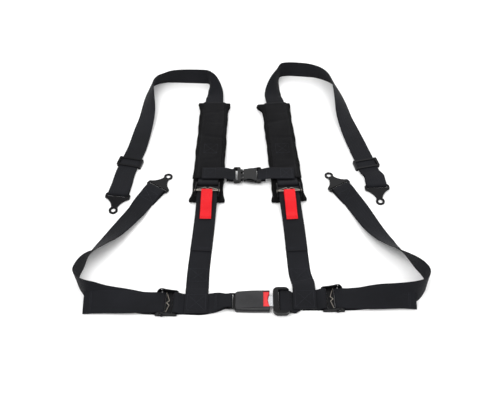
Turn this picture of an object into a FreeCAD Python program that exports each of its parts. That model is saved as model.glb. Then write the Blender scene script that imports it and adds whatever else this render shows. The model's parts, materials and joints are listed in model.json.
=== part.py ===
"""Four-point racing harness, laid out on a flat surface with every buckle fastened.

Units are millimetres.  +X is the wearer's left-to-right, +Y runs from the lap belt up to the
shoulders, +Z is up.  The origin is the middle of the harness on the surface it lies on.
"""
import FreeCAD, Part
import Sketcher
import math
import os

from FreeCAD import Placement, Rotation, Vector

doc = FreeCAD.newDocument("RacingHarness")

# ---------------------------------------------------------------- driving dimensions

DIMENSIONS = [
    ("webbing_width", 50.0),
    ("webbing_thick", 1.6),
    ("layer_gap", 0.4),
    ("chest_width", 38.0),
    ("bar_loop_radius", 3.5),
    ("plate_loop_radius", 3.8),
    ("bracket_thick", 3.0),
    ("bracket_width", 62.0),
    ("bracket_reach", 50.0),
    ("bracket_hole_radius", 5.6),
    ("bracket_eye_radius", 10.8),
    ("bracket_slot", 5.6),
    ("slot_bar", 6.0),
    ("glide_length", 30.0),
    ("glide_width", 64.0),
    ("glide_bar", 5.0),
    ("glide_plate", 1.8),
    ("ear_gap", 54.0),
    ("ear_thick", 2.5),
    ("ear_length", 46.0),
    ("bar_height", 5.0),
    ("lock_bar_radius", 3.0),
    ("lock_neck_radius", 2.0),
    ("lock_travel", 4.0),
    ("lock_place", 9.5),
    ("fixed_bar_place", 36.0),
    ("tab_pin_place", 6.0),
    ("tab_pin_rise", 9.8),
    ("tab_pin_radius", 2.0),
    ("tab_width", 27.0),
    ("tab_thick", 1.4),
    ("spring_wire", 0.9),
    ("pad_width", 78.0),
    ("cushion_thick", 10.4),
    ("cover_thick", 4.4),
    ("buckle_length", 75.0),
    ("buckle_width", 46.0),
    ("buckle_height", 21.0),
    ("buckle_wall", 2.2),
    ("frame_plate", 2.0),
    ("button_length", 14.0),
    ("button_travel", 5.0),
    ("tongue_plate", 2.2),
    ("handle_length", 36.0),
    ("handle_width", 64.0),
    ("handle_thick", 12.0),
    ("clip_length", 45.0),
    ("clip_width", 47.0),
    ("clip_thick", 11.0),
    ("prong_thick", 4.4),
]

sheet = doc.addObject("Spreadsheet::Sheet", "Sizes")
for row, (alias, value) in enumerate(DIMENSIONS, start=1):
    sheet.set(f"A{row}", alias)
    sheet.set(f"B{row}", str(value))
    sheet.setAlias(f"B{row}", alias)
doc.recompute()


def size(alias):
    """One driving dimension as a number."""
    return float(sheet.get(alias))


WIDTH = size("webbing_width")
THICK = size("webbing_thick")
LAYER = THICK + size("layer_gap")
FLAT = THICK / 2
BAR_LOOP = size("bar_loop_radius") + THICK / 2
PLATE_LOOP = size("plate_loop_radius") + THICK / 2

parts = []


def keep(node, label):
    """Name a finished sub-part, so that it is checked and written."""
    node.Label = label
    parts.append(node)
    return node


# ---------------------------------------------------------------- where everything lies

LAP_LEFT_Y = -385.0
LAP_RIGHT_Y = -375.0
BUCKLE_Y = -383.0
BUCKLE_Z = 10.6
CHEST_Y = -16.0
CHEST_Z = 13.0

PAD_SEAT_Z = 16.0
COVER_Z = 15.3

# A shoulder adjuster: its place on the pad and the way its strap runs.
SHOULDER_ADJUSTERS = {
    "left": {"at": Vector(-105.3, -85.0, PAD_SEAT_Z), "turn": 89.1},
    "right": {"at": Vector(96.5, -86.0, PAD_SEAT_Z), "turn": 93.5},
}
# A lap adjuster stands on the surface, with its sewn end towards the buckle.
LAP_ADJUSTERS = {
    "left": {"at": Vector(-196.0, LAP_LEFT_Y, FLAT + BAR_LOOP), "turn": 0.0},
    "right": {"at": Vector(196.0, LAP_RIGHT_Y, FLAT + BAR_LOOP), "turn": 180.0},
}
# An anchor bracket: the middle of its slot bar and the way its eye points.
BRACKET_Z = FLAT + PLATE_LOOP
BRACKETS = {
    "left_shoulder": {"at": Vector(-326.0, -73.5, BRACKET_Z), "turn": -97.0},
    "right_shoulder": {"at": Vector(317.5, -44.5, BRACKET_Z), "turn": -86.5},
    "left_lap": {"at": Vector(-234.5, -54.0, BRACKET_Z), "turn": 58.0},
    "right_lap": {"at": Vector(227.0, -50.0, BRACKET_Z), "turn": 121.0},
}
# How far the eye end drops, so that it rests on the surface.
BRACKET_DROOP = math.degrees(
    math.asin((BRACKET_Z - 1.6) / (size("bracket_reach") + size("bracket_eye_radius"))))

# Centre lines of the loose webbing.  Each station is x, y, z and the lean of the webbing:
# 0 or 180 is flat, 90 or 270 stands on its edge.  The right side is given mirrored in X.
SHOULDER_RUN = {
    "left": [
        (-103.8, 20, 13.9, 0), (-102.5, 120, 13.6, 0), (-101, 258, 13.2, 0), (-101, 282, 12.9, 4),
        (-101, 310, 12.7, 25), (-107.5, 340, 20.6, 55), (-114.5, 358, 24.8, 80), (-122, 367.5, 25, 90),
        (-137, 370.5, 25, 90), (-190, 372.5, 25, 92), (-226, 371, 24.9, 98), (-250, 366, 24.0, 108),
        (-271, 356, 23.5, 112), (-282.5, 341, 23.1, 114), (-287.5, 326, 22.7, 117),
        (-288.6, 297, 20.0, 128), (-287.8, 267, 16.9, 139), (-286.5, 237, 12.9, 151),
        (-287.5, 205, 9.2, 161), (-292, 160, 6.4, 174), (-298, 100, 6.0, 180), (-304.5, 66, 6.0, 180),
        (-311, 36, 6.0, 180), (-317.5, 6, 6.0, 180), (-320.5, -18, 6.6, 180),
    ],
    "right": [
        (-90.4, 20, 13.9, 0), (-84.5, 120, 13.6, 0), (-73, 254, 13.2, 0), (-69, 280, 12.9, 4),
        (-66.5, 303, 12.6, 16), (-71.5, 336, 19.6, 49), (-80.5, 370, 24.8, 80), (-87, 395, 25, 90),
        (-97, 404, 25, 90), (-123, 406.6, 25, 90), (-162, 402.5, 25, 91), (-190, 396, 25, 97),
        (-212, 385, 24.6, 102), (-231, 368, 23.8, 110), (-243, 347, 22.6, 117), (-250, 321, 20.8, 125),
        (-257, 271, 16.5, 140), (-262, 217, 10.4, 157), (-271, 168, 6.4, 172), (-281, 119, 6.0, 180),
        (-291, 75, 6.0, 180), (-301, 31, 6.0, 180), (-306, 6, 6.0, 180),
    ],
}
LAP_RUN = {
    "left": [
        (-225, -384, 3.4, 186), (-261, -379, 7.2, 194), (-312, -374, 13.3, 210),
        (-340, -367, 21, 235), (-358, -357, 24.8, 258), (-372, -344, 25.2, 268), (-380, -328, 25.2, 272),
        (-378, -310, 25.2, 270), (-372, -293, 25.1, 265), (-364.5, -277, 24.4, 252),
        (-356.5, -263, 21.8, 236), (-349.7, -250.5, 19.4, 228), (-341, -237.7, 17.2, 221),
        (-331.6, -224, 14.8, 214), (-322, -210, 11.8, 206), (-305, -181, 8.1, 197), (-278.4, -135, 5.2, 189),
    ],
    "right": [
        (-235, -374, 6.0, 191), (-279, -371, 13, 208), (-320, -371, 18, 223),
        (-352, -367, 22.6, 240), (-373, -355.5, 25, 260), (-384, -342, 25.2, 268), (-387, -326, 25.2, 270),
        (-380, -309, 25.2, 268), (-369, -294, 25, 262), (-356, -278, 24.2, 250), (-343, -262, 22.1, 237),
        (-334, -249.5, 19.8, 228), (-323.7, -236.7, 17, 219), (-314.6, -222.5, 13.9, 210),
        (-305.5, -208.5, 11.1, 203), (-290, -178.5, 6.8, 192.5), (-272, -135, 3.6, 184),
    ],
}
# The loose end of each lap belt, from its hem back towards the adjuster.
LAP_TAIL = {
    "left": [(-354.5, -387, 12.5, -21), (-320, -386.5, 14.5, -23), (-270, -386.5, 13.0, -14),
             (-232, -385, 9.8, -4)],
    "right": [(-355, -377, 15.0, -28), (-320, -376.5, 18.0, -28), (-270, -377, 15.5, -20),
              (-232, -375, 10.4, -6)],
}
# The loose end of each shoulder adjuster's strap, from its hem up to the adjuster, and the
# loaded strap below it, from the adjuster down to the lap belt.
LOWER_TAIL = {
    "left": [(-112.5, -245, 3.2, 0), (-109.5, -190, 4.4, 0), (-107.0, -140, 9.3, 0), (-105.9, -110, 15.4, 0)],
    "right": [(-107.5, -245, 3.2, 0), (-105, -190, 4.4, 0), (-101, -140, 9.3, 0), (-98.2, -110, 15.4, 0)],
}
LOWER_RUN = {
    "left": [(-106.0, -112, 10.9, 180), (-107.2, -140, 6.0, 180), (-109.5, -190, 0.9, 180),
             (-112.5, -245, 0.8, 180),
             (-115, -300, 0.9, 180), (-115, -341, 2.6, 180), (-115, -357, 4.9, 180), (-115, -408, 4.9, 180)],
    "right": [(-98.4, -112, 10.9, 180), (-101.2, -140, 6.0, 180), (-105, -190, 0.9, 180),
              (-107.5, -245, 0.8, 180),
              (-110.5, -300, 0.9, 180), (-114, -322, 2.2, 180), (-117, -342, 7.0, 180),
              (-117, -400, 7.0, 180)],
}


# ---------------------------------------------------------------- webbing geometry

class Section:
    """One cross-section of webbing: its centre, the way across it and the way out of its face."""

    def __init__(self, centre, across, normal, width):
        self.centre = centre
        self.across = across
        self.normal = normal
        self.width = width

    def wire(self):
        side = self.across * (self.width / 2)
        face = self.normal * (THICK / 2)
        corners = [
            self.centre + side + face,
            self.centre - side + face,
            self.centre - side - face,
            self.centre + side - face,
        ]
        return Part.makePolygon(corners + corners[:1])


def blend_station(stations, place):
    """A smooth point between stations, by a cubic through them with matched slopes."""
    last = len(stations) - 1
    index = min(int(place), last - 1)
    part = place - index
    before, start, end, after = (stations[min(max(index + step, 0), last)] for step in (-1, 0, 1, 2))
    result = []
    for a, b, c, d in zip(before, start, end, after):
        slope_in = (c - a) / 2
        slope_out = (d - b) / 2
        cubic = (2 * b - 2 * c + slope_in + slope_out) * part ** 3
        square = (3 * c - 3 * b - 2 * slope_in - slope_out) * part ** 2
        result.append(cubic + square + slope_in * part + b)
    return result


def free_run(stations, per_station=3, width=WIDTH):
    """Webbing that lies freely, as sections through a list of stations."""
    count = (len(stations) - 1) * per_station
    points = [blend_station(stations, step / per_station) for step in range(count + 1)]
    sections = []
    for step, (x, y, z, lean) in enumerate(points):
        behind = Vector(*points[max(step - 1, 0)][:3])
        ahead = Vector(*points[min(step + 1, count)][:3])
        along = (ahead - behind).normalize()
        beside = Vector(along.y, -along.x, 0).normalize()
        angle = math.radians(lean)
        across = beside * math.cos(angle) + Vector(0, 0, math.sin(angle))
        normal = across.cross(along).normalize()
        lowest = width / 2 * abs(across.z) + THICK / 2 * abs(normal.z)
        sections.append(Section(Vector(x, y, max(z, lowest)), across, normal, width))
    return sections


def path_in_plane(placement, points, width=WIDTH):
    """Webbing that follows a path in a fitting's own upright plane.

    The points are (along, up) pairs in the fitting's frame.  Its Y axis is the way across.
    """
    rotation = placement.Rotation
    across = rotation.multVec(Vector(0, 1, 0))
    sections = []
    for step, (along, up) in enumerate(points):
        behind = points[max(step - 1, 0)]
        ahead = points[min(step + 1, len(points) - 1)]
        heading = rotation.multVec(Vector(ahead[0] - behind[0], 0, ahead[1] - behind[1])).normalize()
        centre = placement.multVec(Vector(along, 0, up))
        sections.append(Section(centre, across, across.cross(heading).normalize(), width))
    return sections


def turn_round(along, radius, start, end, steps=8):
    """Points of a turn round a bar, by angle from the fitting's +X axis."""
    result = []
    for step in range(steps + 1):
        angle = math.radians(start + (end - start) * step / steps)
        result.append((along + radius * math.cos(angle), radius * math.sin(angle)))
    return result


def flip_across(sections):
    """The same webbing with its across direction reversed, so that two runs join untwisted."""
    for section in sections:
        section.across = section.across * -1
        section.normal = section.normal * -1
    return sections


def mirrored(sections):
    """The same webbing on the other side of the harness."""
    for section in sections:
        for vector in (section.centre, section.across, section.normal):
            vector.x = -vector.x
    return sections


def aligned(sections):
    """Turn any section whose across or face direction is opposite to the one before it."""
    for before, section in zip(sections, sections[1:]):
        if section.across.dot(before.across) < 0:
            section.across = section.across * -1
        if section.normal.dot(before.normal) < 0:
            section.normal = section.normal * -1
    return sections


def webbing(label, sections):
    """A strap as one closed solid, ruled from section to section."""
    wires = [section.wire() for section in aligned(sections)]
    strap = doc.addObject("Part::Feature", label)
    strap.Shape = Part.makeLoft(wires, True, True)
    return keep(strap, label)


def standing(spec):
    """The placement of a fitting given by where it is and how far it turns about Z."""
    return Placement(spec["at"], Rotation(Vector(0, 0, 1), spec["turn"]))


def drooping(spec):
    """The placement of a bracket, its eye end lowered on to the surface."""
    turn = Rotation(Vector(0, 0, 1), spec["turn"])
    droop = Rotation(Vector(0, 1, 0), BRACKET_DROOP)
    return Placement(spec["at"], turn.multiply(droop))


# ---------------------------------------------------------------- modelling helpers

def expression(target, property_name, formula):
    target.setExpression(property_name, formula)


def block(name, length, width, height, at=("0", "0", "0")):
    """A box whose sizes and corner are formulas over the sheet."""
    box = doc.addObject("Part::Box", name)
    for property_name, formula in zip(("Length", "Width", "Height"), (length, width, height)):
        expression(box, property_name, formula)
    for axis, formula in zip("xyz", at):
        expression(box, f"Placement.Base.{axis}", formula)
    return box


def rod(name, radius, length, at, turn):
    """A cylinder whose sizes and start are formulas, laid along a direction by a rotation."""
    cylinder = doc.addObject("Part::Cylinder", name)
    expression(cylinder, "Radius", radius)
    expression(cylinder, "Height", length)
    cylinder.Placement = Placement(Vector(0, 0, 0), turn)
    for axis, formula in zip("xyz", at):
        expression(cylinder, f"Placement.Base.{axis}", formula)
    return cylinder


ALONG_Y = Rotation(Vector(1, 0, 0), -90)
ALONG_X = Rotation(Vector(0, 1, 0), 90)


def join(name, pieces):
    fused = doc.addObject("Part::MultiFuse", name)
    fused.Shapes = pieces
    fused.Refine = True
    return fused


def cut(name, base, tool):
    result = doc.addObject("Part::Cut", name)
    result.Base = base
    result.Tool = tool
    return result


def rounded(name, base, radius, wanted):
    """Round the edges of a finished object that a test picks."""
    doc.recompute()
    fillet = doc.addObject("Part::Fillet", name)
    fillet.Base = base
    edges = [number for number, edge in enumerate(base.Shape.Edges, start=1) if wanted(edge)]
    fillet.Edges = [(number, radius, radius) for number in edges]
    doc.recompute()
    return fillet


def runs_along(axis):
    """A test for straight edges parallel to an axis."""
    def test(edge):
        if not isinstance(edge.Curve, Part.Line):
            return False
        heading = edge.Vertexes[1].Point - edge.Vertexes[0].Point
        return abs(abs(heading.normalize().dot(axis)) - 1) < 1e-6
    return test


def sketch_on(body, role, name, geometry):
    """A sketch on one of a body's own origin planes."""
    sketch = body.newObject("Sketcher::SketchObject", name)
    plane = next(item for item in body.Origin.OriginFeatures if item.Role == role)
    sketch.AttachmentSupport = [(plane, "")]
    sketch.MapMode = "FlatFace"
    sketch.addGeometry(geometry, False)
    return sketch


def polyline(points):
    """Closed straight outline through (x, y) points."""
    corners = [Vector(x, y, 0) for x, y in points]
    return [Part.LineSegment(a, b) for a, b in zip(corners, corners[1:] + corners[:1])]


def padded(body, name, sketch, length, midplane=True):
    pad = body.newObject("PartDesign::Pad", name)
    pad.Profile = sketch
    expression(pad, "Length", length)
    pad.Midplane = midplane
    return pad


# ---------------------------------------------------------------- anchor bracket and slider

def bracket_outline():
    """Slot end, two hollow flanks and a round eye, about the middle of the slot bar."""
    half = size("bracket_width") / 2
    back = -size("slot_bar") / 2
    reach = size("bracket_reach")
    eye = size("bracket_eye_radius")
    corner = 5.0
    shoulder = 12.0
    eye_side = Vector(reach - eye * 0.75, eye * 0.66, 0)
    flank_start = Vector(shoulder + 3, half - 4, 0)
    flank_middle = Vector(26, 14.5, 0)

    def mirror(point):
        return Vector(point.x, -point.y, 0)

    upper = [
        Part.LineSegment(Vector(back, half - corner, 0), Vector(back + corner, half, 0)),
        Part.LineSegment(Vector(back + corner, half, 0), Vector(shoulder - 3, half, 0)),
        Part.Arc(Vector(shoulder - 3, half, 0), Vector(shoulder + 1.5, half - 1.2, 0), flank_start),
        Part.Arc(flank_start, flank_middle, eye_side),
    ]
    eye_arc = Part.Arc(eye_side, Vector(reach + eye, 0, 0), mirror(eye_side))
    lower = [
        Part.Arc(mirror(eye_side), mirror(flank_middle), mirror(flank_start)),
        Part.Arc(mirror(flank_start), Vector(shoulder + 1.5, 1.2 - half, 0), Vector(shoulder - 3, -half, 0)),
        Part.LineSegment(Vector(shoulder - 3, -half, 0), Vector(back + corner, -half, 0)),
        Part.LineSegment(Vector(back + corner, -half, 0), Vector(back, corner - half, 0)),
    ]
    return upper + [eye_arc] + lower + [Part.LineSegment(Vector(back, corner - half, 0),
                                                         Vector(back, half - corner, 0))]


def anchor_bracket(side):
    """A stamped steel plate: webbing slot at one end, bolt eye at the other."""
    name = f"{side}_bracket"
    body = doc.addObject("PartDesign::Body", name)
    outline = sketch_on(body, "XY_Plane", f"{name}_outline", bracket_outline())
    padded(body, f"{name}_plate", outline, "Sizes.bracket_thick")
    near = size("slot_bar") / 2
    far = near + size("bracket_slot")
    half = WIDTH / 2 + 0.8
    slot = polyline([(near, -half), (far, -half), (far, half), (near, half)])
    holes = sketch_on(body, "XY_Plane", f"{name}_holes", slot)
    eye = holes.addGeometry(Part.Circle(Vector(size("bracket_reach"), 0, 0), Vector(0, 0, 1), 5.0), False)
    radius = holes.addConstraint(Sketcher.Constraint("Radius", eye, size("bracket_hole_radius")))
    holes.setExpression(f"Constraints[{radius}]", "Sizes.bracket_hole_radius")
    pocket = body.newObject("PartDesign::Pocket", f"{name}_openings")
    pocket.Profile = holes
    pocket.Type = "ThroughAll"
    pocket.Midplane = True
    doc.recompute()
    chamfer = body.newObject("PartDesign::Chamfer", f"{name}_eye_edge_break")
    rims = [f"Edge{n}" for n, e in enumerate(pocket.Shape.Edges, start=1)
            if isinstance(e.Curve, Part.Circle) and abs(e.Curve.Radius - size("bracket_hole_radius")) < 1e-6]
    chamfer.Base = (pocket, rims)
    chamfer.Size = 0.35
    body.Tip = chamfer
    body.Placement = drooping(BRACKETS[side])
    return keep(body, name)


GLIDES = {
    "left": {"at": Vector(-311.0, 36.0, 0), "turn": -102.3},
    "right": {"at": Vector(301.0, 31.0, 0), "turn": -77.2},
}
GLIDE_LOW = 6.0 - LAYER - THICK / 2 - 0.4
GLIDE_HIGH = 6.0 + THICK / 2 + 0.5


def slider(side):
    """A three-bar slider: the middle bar under the doubled webbing, the outer bars over it."""
    name = f"{side}_slider"
    plate = "Sizes.glide_plate"
    bar = "Sizes.glide_bar"
    length = "Sizes.glide_length"
    width = "Sizes.glide_width"
    rail = 5.6
    bottom = f"{GLIDE_LOW} - {plate}"
    height = f"{GLIDE_HIGH - GLIDE_LOW} + 2 * {plate}"
    rails = [
        block(f"{name}_rail_a", length, f"{rail}", height, (f"-{length} / 2", f"-{width} / 2", bottom)),
        block(f"{name}_rail_b", length, f"{rail}", height,
              (f"-{length} / 2", f"{width} / 2 - {rail}", bottom)),
    ]
    middle = block(f"{name}_middle_bar", bar, f"{width} - 2", plate,
                   (f"-{bar} / 2", f"-{width} / 2 + 1", bottom))
    outer = [
        block(f"{name}_outer_bar_{end}", bar, f"{width} - 2", plate,
              (start, f"-{width} / 2 + 1", f"{GLIDE_HIGH}"))
        for end, start in (("a", f"-{length} / 2"), ("b", f"{length} / 2 - {bar}"))
    ]
    frame = join(f"{name}_frame", rails + [middle] + outer)
    corners = runs_along(Vector(0, 0, 1))
    outside = lambda edge: corners(edge) and abs(edge.CenterOfMass.y) > size("glide_width") / 2 - 0.1
    final = rounded(name, frame, 2.4, outside)
    final.Placement = standing(GLIDES[side])
    return keep(final, name)


# ---------------------------------------------------------------- webbing adjuster

def ear_outline():
    """Side view of an adjuster's ear, from the front lip to the sewn bar."""
    length = size("ear_length")
    return polyline([
        (-4.4, -3.6), (length - 6, -4.4), (length - 4.4, 1.0), (length - 8, 5.5), (26, 7.6),
        (16, 10.6), (9.6, 13.6), (4, 14.0), (0.6, 11.8), (-3.8, 5.2), (-5.4, 0.5),
    ])


def ear(name, offset):
    """One ear: a plate with a slot for the lock bar and a hole for a pull tab's pin."""
    body = doc.addObject("PartDesign::Body", name)
    outline = sketch_on(body, "XZ_Plane", f"{name}_outline", ear_outline())
    padded(body, f"{name}_plate", outline, "Sizes.ear_thick")
    neck = size("lock_neck_radius") + 0.25
    place = size("lock_place")
    travel = size("lock_travel")
    slot = [
        Part.LineSegment(Vector(place - travel, neck, 0), Vector(place, neck, 0)),
        Part.Arc(Vector(place, neck, 0), Vector(place + neck, 0, 0), Vector(place, -neck, 0)),
        Part.LineSegment(Vector(place, -neck, 0), Vector(place - travel, -neck, 0)),
        Part.Arc(Vector(place - travel, -neck, 0), Vector(place - travel - neck, 0, 0),
                 Vector(place - travel, neck, 0)),
    ]
    holes = sketch_on(body, "XZ_Plane", f"{name}_holes", slot)
    pin = Vector(size("tab_pin_place"), size("tab_pin_rise"), 0)
    hole = holes.addGeometry(Part.Circle(pin, Vector(0, 0, 1), 1.5), False)
    radius = holes.addConstraint(Sketcher.Constraint("Radius", hole, size("tab_pin_radius")))
    holes.setExpression(f"Constraints[{radius}]", "Sizes.tab_pin_radius + 0.1")
    pocket = body.newObject("PartDesign::Pocket", f"{name}_openings")
    pocket.Profile = holes
    pocket.Type = "ThroughAll"
    pocket.Midplane = True
    doc.recompute()
    chamfer = body.newObject("PartDesign::Chamfer", f"{name}_edge_break")
    rims = [f"Edge{n}" for n, e in enumerate(pocket.Shape.Edges, start=1)
            if abs(abs(e.CenterOfMass.y) - size("ear_thick") / 2) < 1e-6]
    chamfer.Base = (pocket, rims)
    chamfer.Size = 0.3
    body.Tip = chamfer
    body.Placement = Placement(Vector(0, offset, 0), Rotation())
    return body


def flat_bar(name, start, length):
    """A cross bar with rounded long edges, between the two ears."""
    bar = block(f"{name}_blank", length, "Sizes.ear_gap + 0.4", "Sizes.bar_height",
                (start, "-Sizes.ear_gap / 2 - 0.2", "-Sizes.bar_height / 2"))
    return rounded(name, bar, 2.2, runs_along(Vector(0, 1, 0)))


def adjuster_frame(name, placement):
    """Two ears joined by a front lip, a middle web and a bar that holds the sewn webbing."""
    offset = (size("ear_gap") + size("ear_thick")) / 2
    web = block(f"{name}_web", "15", "Sizes.ear_gap + 0.4", "1.8",
                ("15.3", "-Sizes.ear_gap / 2 - 0.2", "-2.4"))
    pieces = [
        ear(f"{name}_ear_a", -offset),
        ear(f"{name}_ear_b", offset),
        web,
        flat_bar(f"{name}_lip", "-5.2", "7.2"),
        flat_bar(f"{name}_sewn_bar", "Sizes.fixed_bar_place - 2.9", "6.8"),
    ]
    frame = join(name, pieces)
    doc.recompute()
    frame.Placement = placement
    return keep(frame, name)


def lock_bar(name, placement):
    """The ribbed cross bar that grips the webbing, necked where it slides in the ears."""
    place = "Sizes.lock_place"
    reach = "Sizes.ear_gap / 2 + Sizes.ear_thick + 0.3"
    grip = rod(f"{name}_grip", "Sizes.lock_bar_radius", "Sizes.ear_gap - 1",
               (place, "-(Sizes.ear_gap - 1) / 2", "0"), ALONG_Y)
    neck = rod(f"{name}_neck", "Sizes.lock_neck_radius", f"2 * ({reach}) + 1",
               (place, f"-({reach}) - 0.5", "0"), ALONG_Y)
    heads = [
        rod(f"{name}_head_{end}", "Sizes.lock_bar_radius", "1.4", (place, start, "0"), ALONG_Y)
        for end, start in (("a", f"-({reach}) - 1.4"), ("b", reach))
    ]
    bar = join(name, [grip, neck] + heads)
    doc.recompute()
    bar.Placement = placement
    return keep(bar, name)


def wire_spring(name, placement):
    """A bent wire that reaches from ear to ear behind the lock bar."""
    half = size("ear_gap") / 2 - 0.7
    height = 1.4
    route = [(16.2, half), (23.6, 5.5), (17.4, 0), (23.6, -5.5), (16.2, -half)]
    points = [Vector(along, across, height) for along, across in route]
    pieces = []
    for index, (start, end) in enumerate(zip(points, points[1:])):
        run = end - start
        piece = doc.addObject("Part::Cylinder", f"{name}_run_{index}")
        expression(piece, "Radius", "Sizes.spring_wire")
        piece.Height = run.Length
        piece.Placement = Placement(start, Rotation(Vector(0, 0, 1), run))
        pieces.append(piece)
    for index, point in enumerate(points[1:-1]):
        knuckle = doc.addObject("Part::Sphere", f"{name}_bend_{index}")
        expression(knuckle, "Radius", "Sizes.spring_wire")
        knuckle.Placement = Placement(point, Rotation())
        pieces.append(knuckle)
    spring = join(name, pieces)
    doc.recompute()
    spring.Placement = placement
    return keep(spring, name)


def tab_pin(name, placement):
    """The headed pin across the ears that carries a pull tab."""
    half = "(Sizes.ear_gap / 2 + Sizes.ear_thick)"
    at = ("Sizes.tab_pin_place", f"-{half}", "Sizes.tab_pin_rise")
    shank = rod(f"{name}_shank", "Sizes.tab_pin_radius", f"2 * {half}", at, ALONG_Y)
    heads = [
        rod(f"{name}_head_{end}", "Sizes.tab_pin_radius + 1.2", "1.2",
            ("Sizes.tab_pin_place", start, "Sizes.tab_pin_rise"), ALONG_Y)
        for end, start in (("a", f"-{half} - 1.2"), ("b", half))
    ]
    pin = join(name, [shank] + heads)
    doc.recompute()
    pin.Placement = placement
    return keep(pin, name)


def pull_tab(name, placement):
    """A doubled tape looped over the tab pin and hanging along the strap."""
    pin_x = size("tab_pin_place")
    pin_z = size("tab_pin_rise")
    thick = size("tab_thick")
    radius = size("tab_pin_radius") + 0.45 + thick / 2
    loop = [(pin_x + radius * math.cos(math.radians(a)), pin_z + radius * math.sin(math.radians(a)))
            for a in range(-90, 101, 19)]
    under = [(-24, pin_z - 4.2), (-16, pin_z - 3.5), (-6, pin_z - 3.2), (2, pin_z - radius)]
    over = [(0, pin_z + 2.4), (-10, pin_z + 0.2), (-18, pin_z - 1.3), (-26, pin_z - 2.3), (-36, pin_z - 5.6),
            (-48, pin_z - 10.6), (-60, pin_z - 14.4), (-71, pin_z - 15.6)]
    sections = path_in_plane(placement, under + loop + over, size("tab_width"))
    for section in sections:
        section.normal = section.normal * (thick / THICK)
    return webbing(name, sections)


# ---------------------------------------------------------------- straps

def shoulder_strap(side):
    """Upper shoulder webbing, from the bracket through the slider and pad to the adjuster."""
    adjuster = standing(SHOULDER_ADJUSTERS[side])
    bar = size("fixed_bar_place")
    sewn_end = [(bar + 38, -BAR_LOOP), (bar + 16, -BAR_LOOP), (bar + 4, -BAR_LOOP)]
    over_bar = turn_round(bar, BAR_LOOP, 270, 90)
    leaving = [(bar + 3, BAR_LOOP), (bar + 8, 2.0), (bar + 14, -1.4), (bar + 20, 0.2 + LAYER - BAR_LOOP)]
    lower_end = path_in_plane(adjuster, sewn_end + over_bar + leaving)
    run = free_run(SHOULDER_RUN[side])
    if side == "right":
        run = mirrored(run)
    bracket = standing(BRACKETS[f"{side}_shoulder"])
    glide = standing(GLIDES[side])
    reach = [(-34, PLATE_LOOP - 1.9), (-16, PLATE_LOOP - 0.5), (-6, PLATE_LOOP)]
    back = [(-6, -PLATE_LOOP), (-16, -PLATE_LOOP + 0.25), (-34, -PLATE_LOOP + 1.2)]
    turn = turn_round(0, PLATE_LOOP, 90, -90)
    far_end = path_in_plane(bracket, reach + turn + back)
    tail = [(26, 6.0 - LAYER), (0, 6.0 - LAYER), (-32, 6.0 - LAYER), (-56, 6.0 - LAYER)]
    return webbing(f"{side}_shoulder_strap", lower_end + run + far_end + path_in_plane(glide, tail))


def lower_strap(side):
    """Lower shoulder webbing: loose tail, round the lock bar, down to the lap belt."""
    adjuster = standing(SHOULDER_ADJUSTERS[side])
    lock = size("lock_place")
    over = [(-9, BAR_LOOP - 0.3), (0, BAR_LOOP)]
    under = [(0, -BAR_LOOP), (-9, -BAR_LOOP)]
    loop = path_in_plane(adjuster, over + turn_round(lock, BAR_LOOP, 90, -90) + under)
    tail = free_run(LOWER_TAIL[side])
    run = free_run(LOWER_RUN[side])
    if side == "right":
        tail = mirrored(tail)
        run = mirrored(run)
    return webbing(f"{side}_lower_strap", tail + loop + run)


def lap_strap(side):
    """Outer lap webbing: loose tail, round the lock bar, out and up to its bracket."""
    adjuster = standing(LAP_ADJUSTERS[side])
    lock = size("lock_place")
    over = [(-14, BAR_LOOP), (0, BAR_LOOP)]
    under = [(0, -BAR_LOOP), (-12, -BAR_LOOP + 0.3)]
    loop = path_in_plane(adjuster, over + turn_round(lock, BAR_LOOP, 90, -90) + under)
    tail = free_run(LAP_TAIL[side])
    run = free_run(LAP_RUN[side])
    if side == "right":
        tail = mirrored(tail)
        run = mirrored(run)
    bracket = standing(BRACKETS[f"{side}_lap"])
    reach = [(-50, -PLATE_LOOP + LAYER + 0.6), (-34, PLATE_LOOP - 4.2), (-16, PLATE_LOOP - 0.6),
             (-6, PLATE_LOOP)]
    back = [(-6, -PLATE_LOOP), (-16, -PLATE_LOOP), (-34, -PLATE_LOOP), (-46, -PLATE_LOOP)]
    far_end = path_in_plane(bracket, reach + turn_round(0, PLATE_LOOP, 90, -90) + back)
    return webbing(f"{side}_lap_strap", tail + loop + run + far_end)


INNER_LOOP_X = {"left": -42.5, "right": 67.0}
HANDLE_BAR_Z = 8.4


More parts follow.
